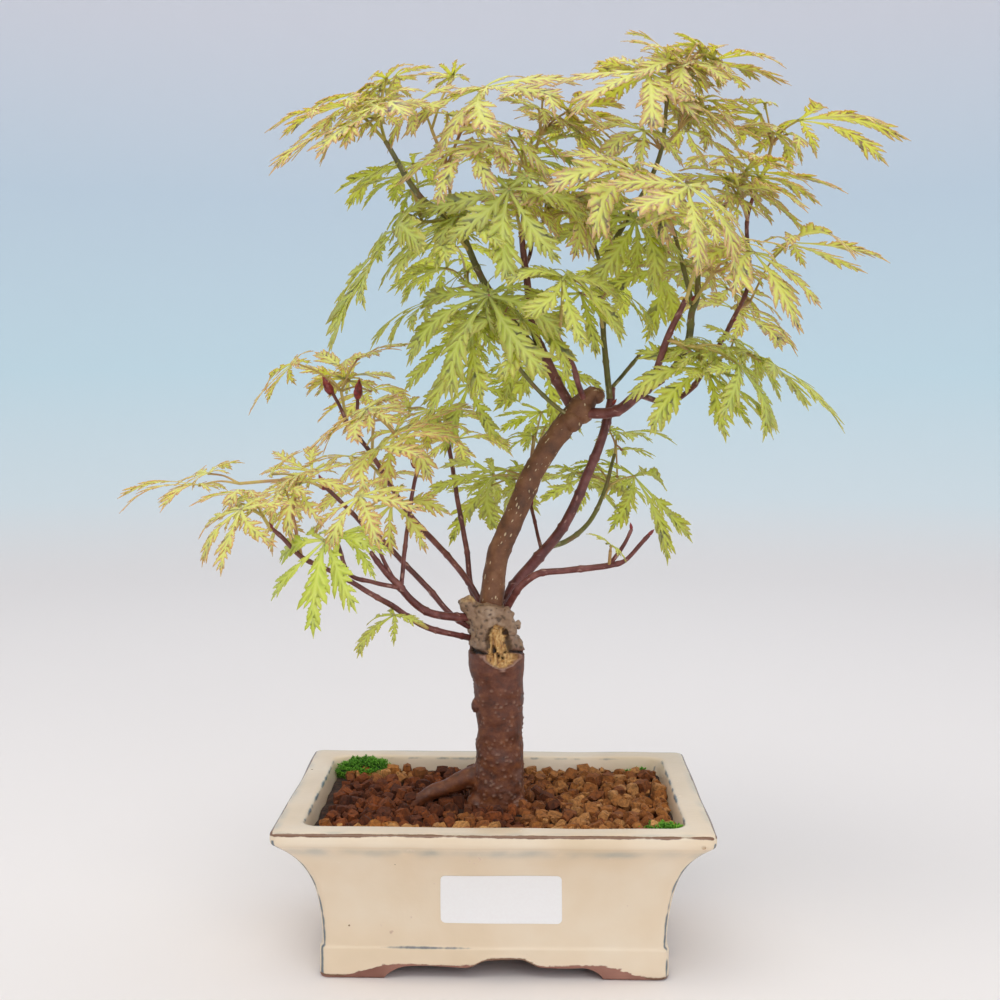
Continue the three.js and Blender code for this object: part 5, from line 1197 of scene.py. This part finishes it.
def grow_lobe(blade, frame_of, reach, angle, rng, fullness, droop, fold):
    """One lobe: a narrow neck, then pairs of long saw-edged teeth shrinking towards a thread-like point."""
    hub, along, across, normal = frame_of
    way = along * math.cos(angle) + across * math.sin(angle)
    aside = normal.cross(way)
    bow = rng.uniform(-0.1, 0.1) * reach
    arch = rng.uniform(0.02, 0.09) * reach
    curl = rng.uniform(0.0, 0.12) * reach * (1 if angle else 0.5)
    roll = rng.uniform(-0.35, 0.35)
    ripple = rng.uniform(0, 6.28)

    def at(s, b, c=0.0):
        """s along the midrib in lengths, b to the side and c above in millimetres."""
        t = min(s, 1.0)
        bend = normal * (arch * math.sin(math.pi * t) - droop * t * t - curl * max(t - 0.55, 0) ** 2 * 4)
        sway = aside * (bow * math.sin(math.pi * t) + b)
        wave = fold * abs(b) + roll * t * b + 0.25 * math.sin(7 * s + ripple) * min(abs(b) / 3, 1)
        return hub + way * (s * reach) + bend + sway + normal * (c + wave)

    pairs = max(3, int(round(2.0 + reach / 9.5)))
    neck = rng.uniform(0.17, 0.25)
    widest = 0.25 * reach * fullness * rng.uniform(0.85, 1.1)
    places = [neck + (0.88 - neck) * ((i + 0.5) / pairs) ** 0.95 for i in range(pairs)]
    ribs = [blade.add(at(0, 0, 0.1), 0, 0, 0), blade.add(at(neck * 0.55, 0, 0.1), 0, 0.1, neck * 0.55)]
    for s in places:
        ribs.append(blade.add(at(s, 0, 0.1), 0, 0, s))
    end = blade.add(at(1.0, 0), 0, 1, 1)
    for hand in (-1, 1):
        start = blade.add(at(0, 0.5 * hand), 0.5, 0.2, 0)
        sinus = blade.add(at(neck * 0.8, 0.75 * hand), 0.75, 0.6, neck)
        blade.zip_between([(0, ribs[0]), (0.6, ribs[1]), (1, ribs[2])], [(0, start), (0.7, sinus)], hand > 0)
        shift = (places[1] - places[0]) * rng.uniform(0.1, 0.4) * (hand if reach > 12 else 0)
        for k, s in enumerate(places):
            size_here = math.sin(math.pi * min(0.13 + 0.92 * (s - neck) / (1 - neck), 1)) ** 0.9
            length = widest * max(size_here, 0.2) * rng.uniform(0.72, 1.25)
            lean = math.radians(rng.uniform(26, 42) - 8 * s)
            lift = rng.uniform(-0.08, 0.1) * length
            base_s = s + shift / 3
            tip_s = base_s + length * math.cos(lean) / reach
            tip_b = hand * length * math.sin(lean)
            is_last = k == pairs - 1
            next_s = (places[k + 1] if not is_last else 0.94) + shift / 3
            notch_s = (s + next_s) / 2 + 0.02
            notch_b = hand * max(0.22 * abs(tip_b), 0.5)
            next_sinus = blade.add(at(notch_s, notch_b), abs(notch_b), 0.8, notch_s)

            def tooth_point(f, out, edge_value):
                """A point at a share of the tooth's length and a distance off its own vein."""
                ds = length * f * math.cos(lean) / reach - out * math.sin(lean) / reach
                db = hand * (length * f * math.sin(lean) + out * math.cos(lean))
                return blade.add(at(base_s + ds, db, lift * f), abs(out), edge_value, base_s + ds)

            vein_a = tooth_point(0.34, 0, 0.08)
            vein_b = tooth_point(0.68, 0, 0.3)
            tip = blade.add(at(tip_s, tip_b, lift), 0.05, 1, tip_s)
            half = length * rng.uniform(0.14, 0.2)
            outer = [(0.0, sinus)]
            for f, out in ((0.2, 0.85), (0.36, 1.45), (0.4, 0.85), (0.56, 1.2), (0.6, 0.62), (0.76, 0.7)):
                if f < 0.25 and length < 4:
                    continue
                outer.append((f, tooth_point(f, half * out, 0.95)))
            outer.append((1.0, tip))
            inner = [(0.12, next_sinus)]
            for f, out in ((0.44, -0.75), (0.52, -1.1), (0.57, -0.55), (0.78, -0.4)):
                inner.append((f, tooth_point(f, half * out, 0.95)))
            inner.append((1.0, tip))
            vein_row = [(0.0, ribs[k + 2]), (0.34, vein_a), (0.68, vein_b), (1.0, tip)]
            blade.zip_between(vein_row, outer, hand > 0)
            blade.zip_between(vein_row, inner, hand < 0)
            if not is_last:
                face = (ribs[k + 2], next_sinus, ribs[k + 3])
                blade.faces.append(face[::-1] if hand > 0 else face)
            sinus = next_sinus
        rim = [(0.0, sinus)]
        room = 1 - places[-1]
        for f, out in ((0.3, 0.8), (0.38, 0.5), (0.62, 0.34), (0.8, 0.14)):
            s = places[-1] + room * (0.3 + 0.7 * f)
            rim.append((f, blade.add(at(s, hand * out * 0.035 * reach), 0.035 * reach * out, 0.95, s)))
        rim.append((1.0, end))
        blade.zip_between([(0.0, ribs[-1]), (1.0, end)], rim, hand > 0)


def grow_leaf(blade, at, tip, seed, fullness=1.0):
    rng = random.Random(seed)
    hub, length, along, across, normal = blade_frame(at, tip)
    for degrees, share in LOBES:
        if abs(degrees) > 110 and rng.random() < 0.12:
            continue
        angle = math.radians(degrees + rng.uniform(-9, 9))
        reach = length * share * (rng.uniform(0.84, 1.06) if degrees else 1)
        droop = 0.14 * reach * (1 - math.cos(angle)) + rng.uniform(-0.06, 0.14) * reach * (1 if degrees else 0)
        fold = rng.uniform(-0.08, 0.2)
        lifted = hub + normal * rng.uniform(-0.15, 0.15)
        grow_lobe(blade, (lifted, along, across, normal), reach, angle, rng, fullness, droop, fold)


def leaf_skin(name, body, vein, rim, rim_amount, rim_noise):
    """Leaf tissue by distance from the veins, place along the lobe and nearness to the edge."""
    made, tree, shader = new_material(name)
    spot = add_node(tree, "ShaderNodeTexCoord").outputs["Object"]
    cloud = add_node(tree, "ShaderNodeTexNoise", {"Scale": 55.0, "Detail": 3.0}, {"Vector": spot}).outputs["Fac"]
    tissue = add_node(tree, "ShaderNodeValToRGB", links={0: cloud},
                      ramp=[(0.32, body[0]), (0.5, body[1]), (0.68, body[2])]).outputs[0]
    edge = add_node(tree, "ShaderNodeAttribute", attribute_name="edge").outputs["Fac"]
    far = add_node(tree, "ShaderNodeAttribute", attribute_name="reach").outputs["Fac"]
    off_vein = add_node(tree, "ShaderNodeAttribute", attribute_name="vein").outputs["Fac"]
    ribbed = add_node(tree, "ShaderNodeMapRange", {1: 0.1, 2: 1.1, 3: 0.42, 4: 0.0}, {0: off_vein},
                      interpolation_type="SMOOTHSTEP").outputs[0]
    inland = add_node(tree, "ShaderNodeMapRange", {1: 0.2, 2: 0.8, 3: 1.0, 4: 0.0}, {0: edge}).outputs[0]
    rib_share = add_node(tree, "ShaderNodeMath", links={0: ribbed, 1: inland}, operation="MULTIPLY").outputs[0]
    near_hub = add_node(tree, "ShaderNodeMapRange", {1: 0.02, 2: 0.3, 3: 0.7, 4: 0.0}, {0: far}).outputs[0]
    pale_share = add_node(tree, "ShaderNodeMath", links={0: rib_share, 1: near_hub}, operation="MAXIMUM").outputs[0]
    veined = add_node(tree, "ShaderNodeMix", {7: linear(vein)}, {0: pale_share, 6: tissue},
                      data_type="RGBA").outputs[2]
    patchy = add_node(tree, "ShaderNodeTexNoise", {"Scale": 110.0, "Detail": 2.0}, {"Vector": spot}).outputs["Fac"]
    uneven = add_node(tree, "ShaderNodeMath", {1: rim_noise, 2: -0.5 * rim_noise}, {0: patchy},
                      operation="MULTIPLY_ADD").outputs[0]
    further = add_node(tree, "ShaderNodeMath", {1: 0.34}, {0: far, 2: uneven}, operation="MULTIPLY_ADD").outputs[0]
    reached = add_node(tree, "ShaderNodeMath", links={0: edge, 1: further}, operation="ADD").outputs[0]
    blush = add_node(tree, "ShaderNodeMapRange", {1: 0.5, 2: 1.15, 3: 0.0, 4: rim_amount}, {0: reached},
                     interpolation_type="SMOOTHSTEP").outputs[0]
    tree.links.new(add_node(tree, "ShaderNodeMix", {7: linear(rim)}, {0: blush, 6: veined},
                            data_type="RGBA").outputs[2], shader.inputs["Base Color"])
    veinlets = add_node(tree, "ShaderNodeTexNoise", {"Scale": 900.0, "Detail": 2.0}, {"Vector": spot}).outputs["Fac"]
    relief = add_node(tree, "ShaderNodeMath", {1: 0.5}, {0: veinlets, 2: ribbed}, operation="MULTIPLY_ADD").outputs[0]
    quilted = add_node(tree, "ShaderNodeBump", {"Strength": 0.12, "Distance": 0.0003}, {"Height": relief})
    tree.links.new(quilted.outputs[0], shader.inputs["Normal"])
    shader.inputs["Roughness"].default_value = 0.55
    shader.inputs["Subsurface Weight"].default_value = 0.85
    shader.inputs["Subsurface Radius"].default_value = (1.0, 1.0, 0.35)
    shader.inputs["Subsurface Scale"].default_value = 0.002
    return made


leaf_skins = {
    # Young sun leaves: thin lime-yellow blades whose edges are still pink-brown.
    "sun": leaf_skin("sun_leaf", ("#c3c64a", "#cfd25a", "#dadb6c"), "#e2e488", "#c28a72", 0.92, 0.9),
    # Leaves inside the crown: plain fresh yellow-green.
    "green": leaf_skin("shade_leaf", ("#a0b03a", "#b1c048", "#c1cc58"), "#d2da7c", "#ad8660", 0.5, 0.8),
    # The brightest low leaf, yellow-green all over.
    "bright": leaf_skin("lime_leaf", ("#9cb934", "#b0ca42", "#c2d552"), "#dde688", "#b3a15a", 0.4, 0.8),
    # Newest leaves: apricot and orange-pink edges over yellow-green.
    "orange": leaf_skin("apricot_leaf", ("#b9bb4e", "#c6ca5c", "#d2d46c"), "#e4de8e", "#c68868", 0.95, 0.9),
}
stalk_skin, tree, shader = new_material("leaf_stalk")
# Leaf stalks: wiry and smooth, yellow-green flushed pink.
spot = add_node(tree, "ShaderNodeTexCoord").outputs["Object"]
flush = add_node(tree, "ShaderNodeTexNoise", {"Scale": 45.0, "Detail": 2.0}, {"Vector": spot}).outputs["Fac"]
tree.links.new(add_node(tree, "ShaderNodeValToRGB", links={0: flush}, ramp=[(0.35, "#b3a54a"), (0.5, "#c9ad62"), (0.68, "#b07a5c")]).outputs[0],
               shader.inputs["Base Color"])
shader.inputs["Roughness"].default_value = 0.45

SPRAYS = [
    ("leaves_top_left", "sun", [[-47, -14, 288], [-50, -9, 298]],
     [[1, [-51, -22, 297], [-94, -44, 272]], [1, [-50, 6, 313], [-88, 16, 304]]]),
    ("leaves_top_middle", "sun", [[-19, -6, 255], [-22, -5, 278], [-28, -7, 294]],
     [ [2, [-33, -10, 305], [-35, -30, 286]], [1, [-6, -8, 311], [2, -52, 284]], [2, [-20, 12, 319], [-34, 26, 325]], [1, [-8, -22, 285], [-28, -44, 258]], ]),
    ("leaves_left_hanging", "green", [[-20, -7, 256], [-32, -9, 255]],
     [[1, [-44, -10, 251], [-71, -24, 200]], [1, [-38, 22, 284], [-69, 40, 267]]]),
    ("leaves_crown_centre", "green", [[10, 0, 251], [8, -4, 260]],
     [[1, [5, -30, 266], [5, -50, 226]], [1, [9, 14, 284], [22, 50, 295]]]),
    ("leaves_crown_top", "sun", [[72, -2, 308], [73, 1, 315]],
     [ [1, [62, -12, 317], [26, -36, 296]], [1, [87, 6, 323], [126, 14, 316]], [1, [76, 24, 329], [75, 52, 342]], ]),
    ("leaves_far_right_top", "sun", [[119.4, 26.3, 283.4], [121, 23, 293]],
     [[1, [130, 10, 301], [176, -2, 291]], [1, [117, 30, 307], [90, 46, 305]]]),
    ("leaves_crown_front", "sun", [[65, 8, 273], [61, -8, 274]],
     [[1, [56, -34, 272], [41, -72, 243]], [1, [40, 52, 280], [34, 88, 262]]]),
    ("leaves_right_front", "sun", [[77, -36, 220], [81, -40, 236]],
     [[1, [76, -46, 265], [77, -84, 229]], [1, [106, -26, 241], [96, -66, 219]]]),
    ("leaves_right_top", "sun", [[112, 30, 260], [108, 22, 268]],
     [ [1, [105, -4, 277], [146, -22, 267]], [1, [104, 44, 290], [135, 76, 290]], [1, [96, 66, 262], [104, 98, 240]], ]),
    ("leaves_far_right", "sun", [[107, 24, 220], [114, 32, 224]],
     [[1, [124, -6, 247], [165, -22, 239]], [1, [108, 46, 222], [140, 76, 204]]]),
    ("leaves_right_low", "green", [[71, -26, 205], [82, -30, 202]],
     [[1, [99, -36, 195], [107, -52, 165]], [1, [88, -20, 193], [65, -44, 166]]]),
    ("leaf_right_low_back", "green", [[93, 12, 196], [101, 4, 200]],
     [[1, [112, -10, 197], [149, -14, 168]]]),
    ("leaves_right_inner", "green", [[77, 13, 253], [72, 24, 250]],
     [[1, [74, 32, 239], [65, 52, 207]], [1, [60, 70, 240], [62, 100, 214]]]),
    ("leaf_middle_front", "green", [[26, -20, 205], [27, -28, 218]],
     [[1, [27, -36, 230], [36, -58, 200]]]),
    ("leaves_middle_left", "green", [[3, -12, 201], [0, -18, 212]],
     [[1, [-3, -30, 223], [-13, -46, 180]], [1, [-13, 24, 186], [-21, 40, 153]]]),
    ("leaves_left_inner", "green", [[-5, 0, 229], [-13, 4, 229]],
     [[1, [-27, -1, 223], [-55, -13, 203]], [1, [-20, 50, 250], [-36, 84, 232]]]),
    ("leaves_centre_back", "green", [[21, 10, 199], [18, 24, 208]],
     [[1, [22, 38, 196], [27, 60, 163]], [1, [0, 58, 218], [-12, 94, 200]]]),
    ("leaves_side_twig", "green", [[15, 26, 130], [14, 34, 142]],
     [ [1, [-2, 28, 145], [-28, 44, 113]], [1, [-3, 54, 141], [15, 80, 137]], [1, [20, 62, 173], [13, 86, 154]], ]),
    ("leaves_left_arch_top", "orange", [[-33, -14, 151], [-38, -18, 158]],
     [[1, [-51, -24, 174], [-78, -42, 159]], [1, [-49, -30, 160], [-28, -57, 157]]]),
    ("leaves_left_arch_front", "orange", [[-50.5, -37.2, 127], [-52, -42, 136]],
     [[1, [-54, -55, 142], [-46, -87, 125]], [1, [-45, -12, 135], [-28, -30, 117]]]),
    ("leaf_left_front_low", "bright", [[-64, -44, 120], [-65, -50, 125]],
     [[1, [-67, -62, 125], [-75, -84, 90]]]),
    ("leaves_left_low", "orange", [[-89, -56, 128], [-92, -58, 134]],
     [[1, [-101, -46, 143], [-120, -62, 140]], [1, [-98, -72, 138], [-101, -98, 117]]]),
    ("leaves_far_left", "orange", [[-77, 10, 140], [-86, 8, 144], [-100, 16, 143], [-118, 24, 141]],
     [ [1, [-89, -20, 133], [-94, -34, 116]], [1, [-99, 0, 147], [-88, 10, 157]], [1, [-86, 32, 146], [-108, 52, 155]], [3, [-137, 27, 140], [-176, 34, 135]], ]),
    ("leaves_left_middle", "orange", [[-51, 28, 143], [-56, 30, 147]],
     [[1, [-66, 16, 154], [-88, 26, 150]], [1, [-60, 56, 140], [-72, 88, 124]]]),
    ("leaves_left_back", "sun", [[-26, 42, 167], [-29, 34, 171]],
     [ [1, [-39, 8, 176], [-58, -6, 178]], [1, [-31, 12, 170], [-28, -14, 158]], [1, [-20, 66, 160], [-16, 98, 144]], ]),
    ("leaves_left_top", "orange", [[-70, 33.7, 168.8], [-73, 38, 183]],
     [ [1, [-64, 28, 198], [-50, 4, 201]], [1, [-69, 48, 190], [-88, 72, 203]], [1, [-62, 62, 183], [-78, 86, 168]], [1, [-92, 22, 196], [-112, 10, 174]], ]),
    ("leaves_side_shoot", "green", [[54, 42, 153], [55, 50, 158]],
     [[1, [56, 60, 163], [80, 78, 162]], [1, [57, 66, 142], [52, 94, 130]]]),
    ("leaves_side_shoot_low", "green", [[48, 34, 134], [52, 38, 140]],
     [[1, [63, 40, 144], [82, 50, 101]], [1, [39, 56, 142], [21, 84, 129]]]),
    ("leaf_left_under", "green", [[-29, -22, 83], [-34, -28, 87]],
     [[1, [-42, -36, 91], [-56, -52, 77]]]),
    ("leaf_right_young", "green", [[48, -20, 110], [48, -27, 117]],
     [[1, [48, -34, 120], [42, -46, 124]]]),
]

# Short side shoots whose leaves fill the crown between the main sprays.
INFILL = [
    ("infill_top_left", "sun", [[10, 0, 252], [13, -3, 275], [18, -5, 292]],
     [[2, [19, -10, 306], [45, -35, 289]], [2, [28, 4, 300], [41, 34, 288]], [1, [5, -12, 290], [-20, -38, 276]],
      [2, [30, 0, 303], [55, -14, 302]]]),
    ("infill_top_far_left", "sun", [[-47, -14, 288], [-56, -14, 298]],
     [[1, [-62, -18, 302], [-96, -32, 288]], [1, [-50, -26, 300], [-60, -56, 280]], [1, [-60, 4, 306], [-84, 28, 296]]]),
    ("infill_middle_right", "green", [[47, 22, 211], [44, 12, 222]],
     [[1, [36, 4, 226], [20, -20, 204]], [1, [50, 2, 228], [66, -24, 208]]]),
    ("infill_top_right", "sun", [[70, 2, 287], [78, 6, 296]],
     [[1, [86, 12, 303], [116, 0, 290]], [0, [62, -4, 294], [40, -26, 280]], [1, [80, -8, 305], [92, -36, 290]],
      [1, [84, 30, 300], [100, 56, 286]]]),
    ("infill_top_edge", "sun", [[72, -2, 308], [78, -4, 318]],
     [[1, [82, -4, 322], [52, -22, 312]], [1, [92, 0, 324], [122, -8, 320]]]),
    ("infill_crown_middle", "green", [[55, 14, 256], [56, 8, 262]],
     [[1, [60, 0, 258], [45, -24, 223]], [1, [66, 16, 262], [94, 4, 246]], [0, [48, 26, 262], [28, 52, 250]]]),
    ("infill_crown_left", "sun", [[11, 2, 244], [20, -4, 256]],
     [[1, [30, -8, 266], [27, -38, 240]], [1, [24, 8, 268], [50, 26, 254]], [1, [12, -14, 262], [-12, -36, 250]]]),
    ("infill_right", "sun", [[112, 30, 262], [106, 12, 266]],
     [[1, [102, -5, 270], [130, -32, 254]], [1, [98, 8, 276], [76, -16, 264]]]),
    ("infill_right_middle", "sun", [[84, 0, 221], [92, -6, 234]],
     [[1, [98, -12, 240], [124, -34, 222]], [1, [86, 14, 242], [100, 40, 228]]]),
    ("infill_left", "green", [[-12, -3, 243], [-18, -12, 250]],
     [[1, [-22, -16, 252], [-44, -40, 228]], [1, [-16, -22, 256], [0, -50, 238]], [1, [-26, 6, 258], [-44, 30, 246]]]),
    ("infill_middle", "green", [[3, -12, 202], [2, -18, 212]],
     [[1, [10, -22, 214], [27, -46, 188]], [1, [-12, -14, 212], [-26, -34, 171]], [1, [2, -4, 222], [14, 22, 206]]]),
    ("infill_right_low", "green", [[71, -26, 206], [84, -26, 198]], [[1, [89, -24, 190], [116, -44, 167]]]),
    ("infill_arch_middle", "orange", [[-58, 30, 154], [-56, 18, 170]],
     [[1, [-52, -2, 178], [-74, -26, 162]], [1, [-44, -8, 166], [-27, -32, 146]]]),
    ("infill_left_low", "orange", [[-78, -51, 117], [-82, -48, 134]],
     [[1, [-86, -42, 144], [-106, -58, 128]], [1, [-80, -40, 146], [-64, -66, 134]]]),
]

leaf_slots = {"sun": "leaf_sun", "green": "leaf_green", "bright": "leaf_bright", "orange": "leaf_orange"}


def between_leaves(name, twig, leaves, bare):
    """Smaller leaves to each side of the main ones, from the same buds, with a share of them left out."""
    rng = random.Random("between " + name)
    more = []
    for node, at, tip in leaves:
        way = Vector(tip) - Vector(at)
        for hand in (-1, 1):
            turn = hand * rng.uniform(0.9, 1.9)
            share = rng.uniform(0.45, 0.78)
            left_out = rng.random() < bare
            hub = Vector(twig[node]).lerp(Vector(at), rng.uniform(0.35, 0.9))
            hub += Vector((rng.uniform(-7, 7), rng.uniform(-7, 7), rng.uniform(-3, 9)))
            end = hub + share * Vector((way.x * math.cos(turn) - way.y * math.sin(turn),
                                        way.x * math.sin(turn) + way.y * math.cos(turn),
                                        way.z * rng.uniform(0.1, 0.9)))
            end = Vector((min(max(end.x, -170), 172), min(max(end.y, -94), 96), min(end.z, 329)))
            if (end - hub).length > 14 and not left_out:
                more.append([node, tuple(hub), tuple(end)])
    return more


def leaf_spray(name, tint, twig, leaves):
    blade = Blade()
    stalks = ([], [])
    twig_path = over_soil(twig)
    add_shape(stalks, stem_tube(twig_path, [0.75] * len(twig_path), pitch=2.0, sides=8)[:2])
    for k, (node, at, tip) in enumerate(list(leaves) + between_leaves(name, twig, leaves, 0.6 if tint == "orange" else 0.22)):
        hub, end = over_soil([at, tip])
        seed = name + str(k)
        grow_leaf(blade, hub, end, seed)
        start = Vector(twig_path[node])
        goal = Vector(hub) - blade_frame(hub, end)[4] * 0.2
        bend = start.lerp(goal, 0.5) + Vector((0, 0, 0.08 * (goal - start).length))
        add_shape(stalks, stem_tube([start, bend, goal], [0.62, 0.42, 0.5], pitch=2.0, sides=7)[:2])
        add_shape(stalks, knob(goal, (0.85, 0.85, 0.7), 5, 8))
    piece = new_piece(name + "_blades", blade.points, blade.faces)
    store(piece, "vein", blade.vein)
    store(piece, "edge", blade.edge)
    store(piece, "reach", blade.reach)
    body = piece.modifiers.new("body", "SOLIDIFY")
    body.thickness = 0.00024
    body.offset = 0
    settle(piece)
    piece.data.materials.append(leaf_skins[tint])
    belongs(piece, leaf_slots[tint], *([name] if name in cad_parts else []))
    wiry = new_piece(name + "_stalks", *stalks)
    wiry.data.materials.append(stalk_skin)
    belongs(wiry, leaf_slots[tint])


for name, tint, twig, leaves in SPRAYS + INFILL:
    leaf_spray(name, tint, twig, leaves)

# ---- Sizes ----
# The box round every shown object but the backdrop.

low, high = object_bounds()
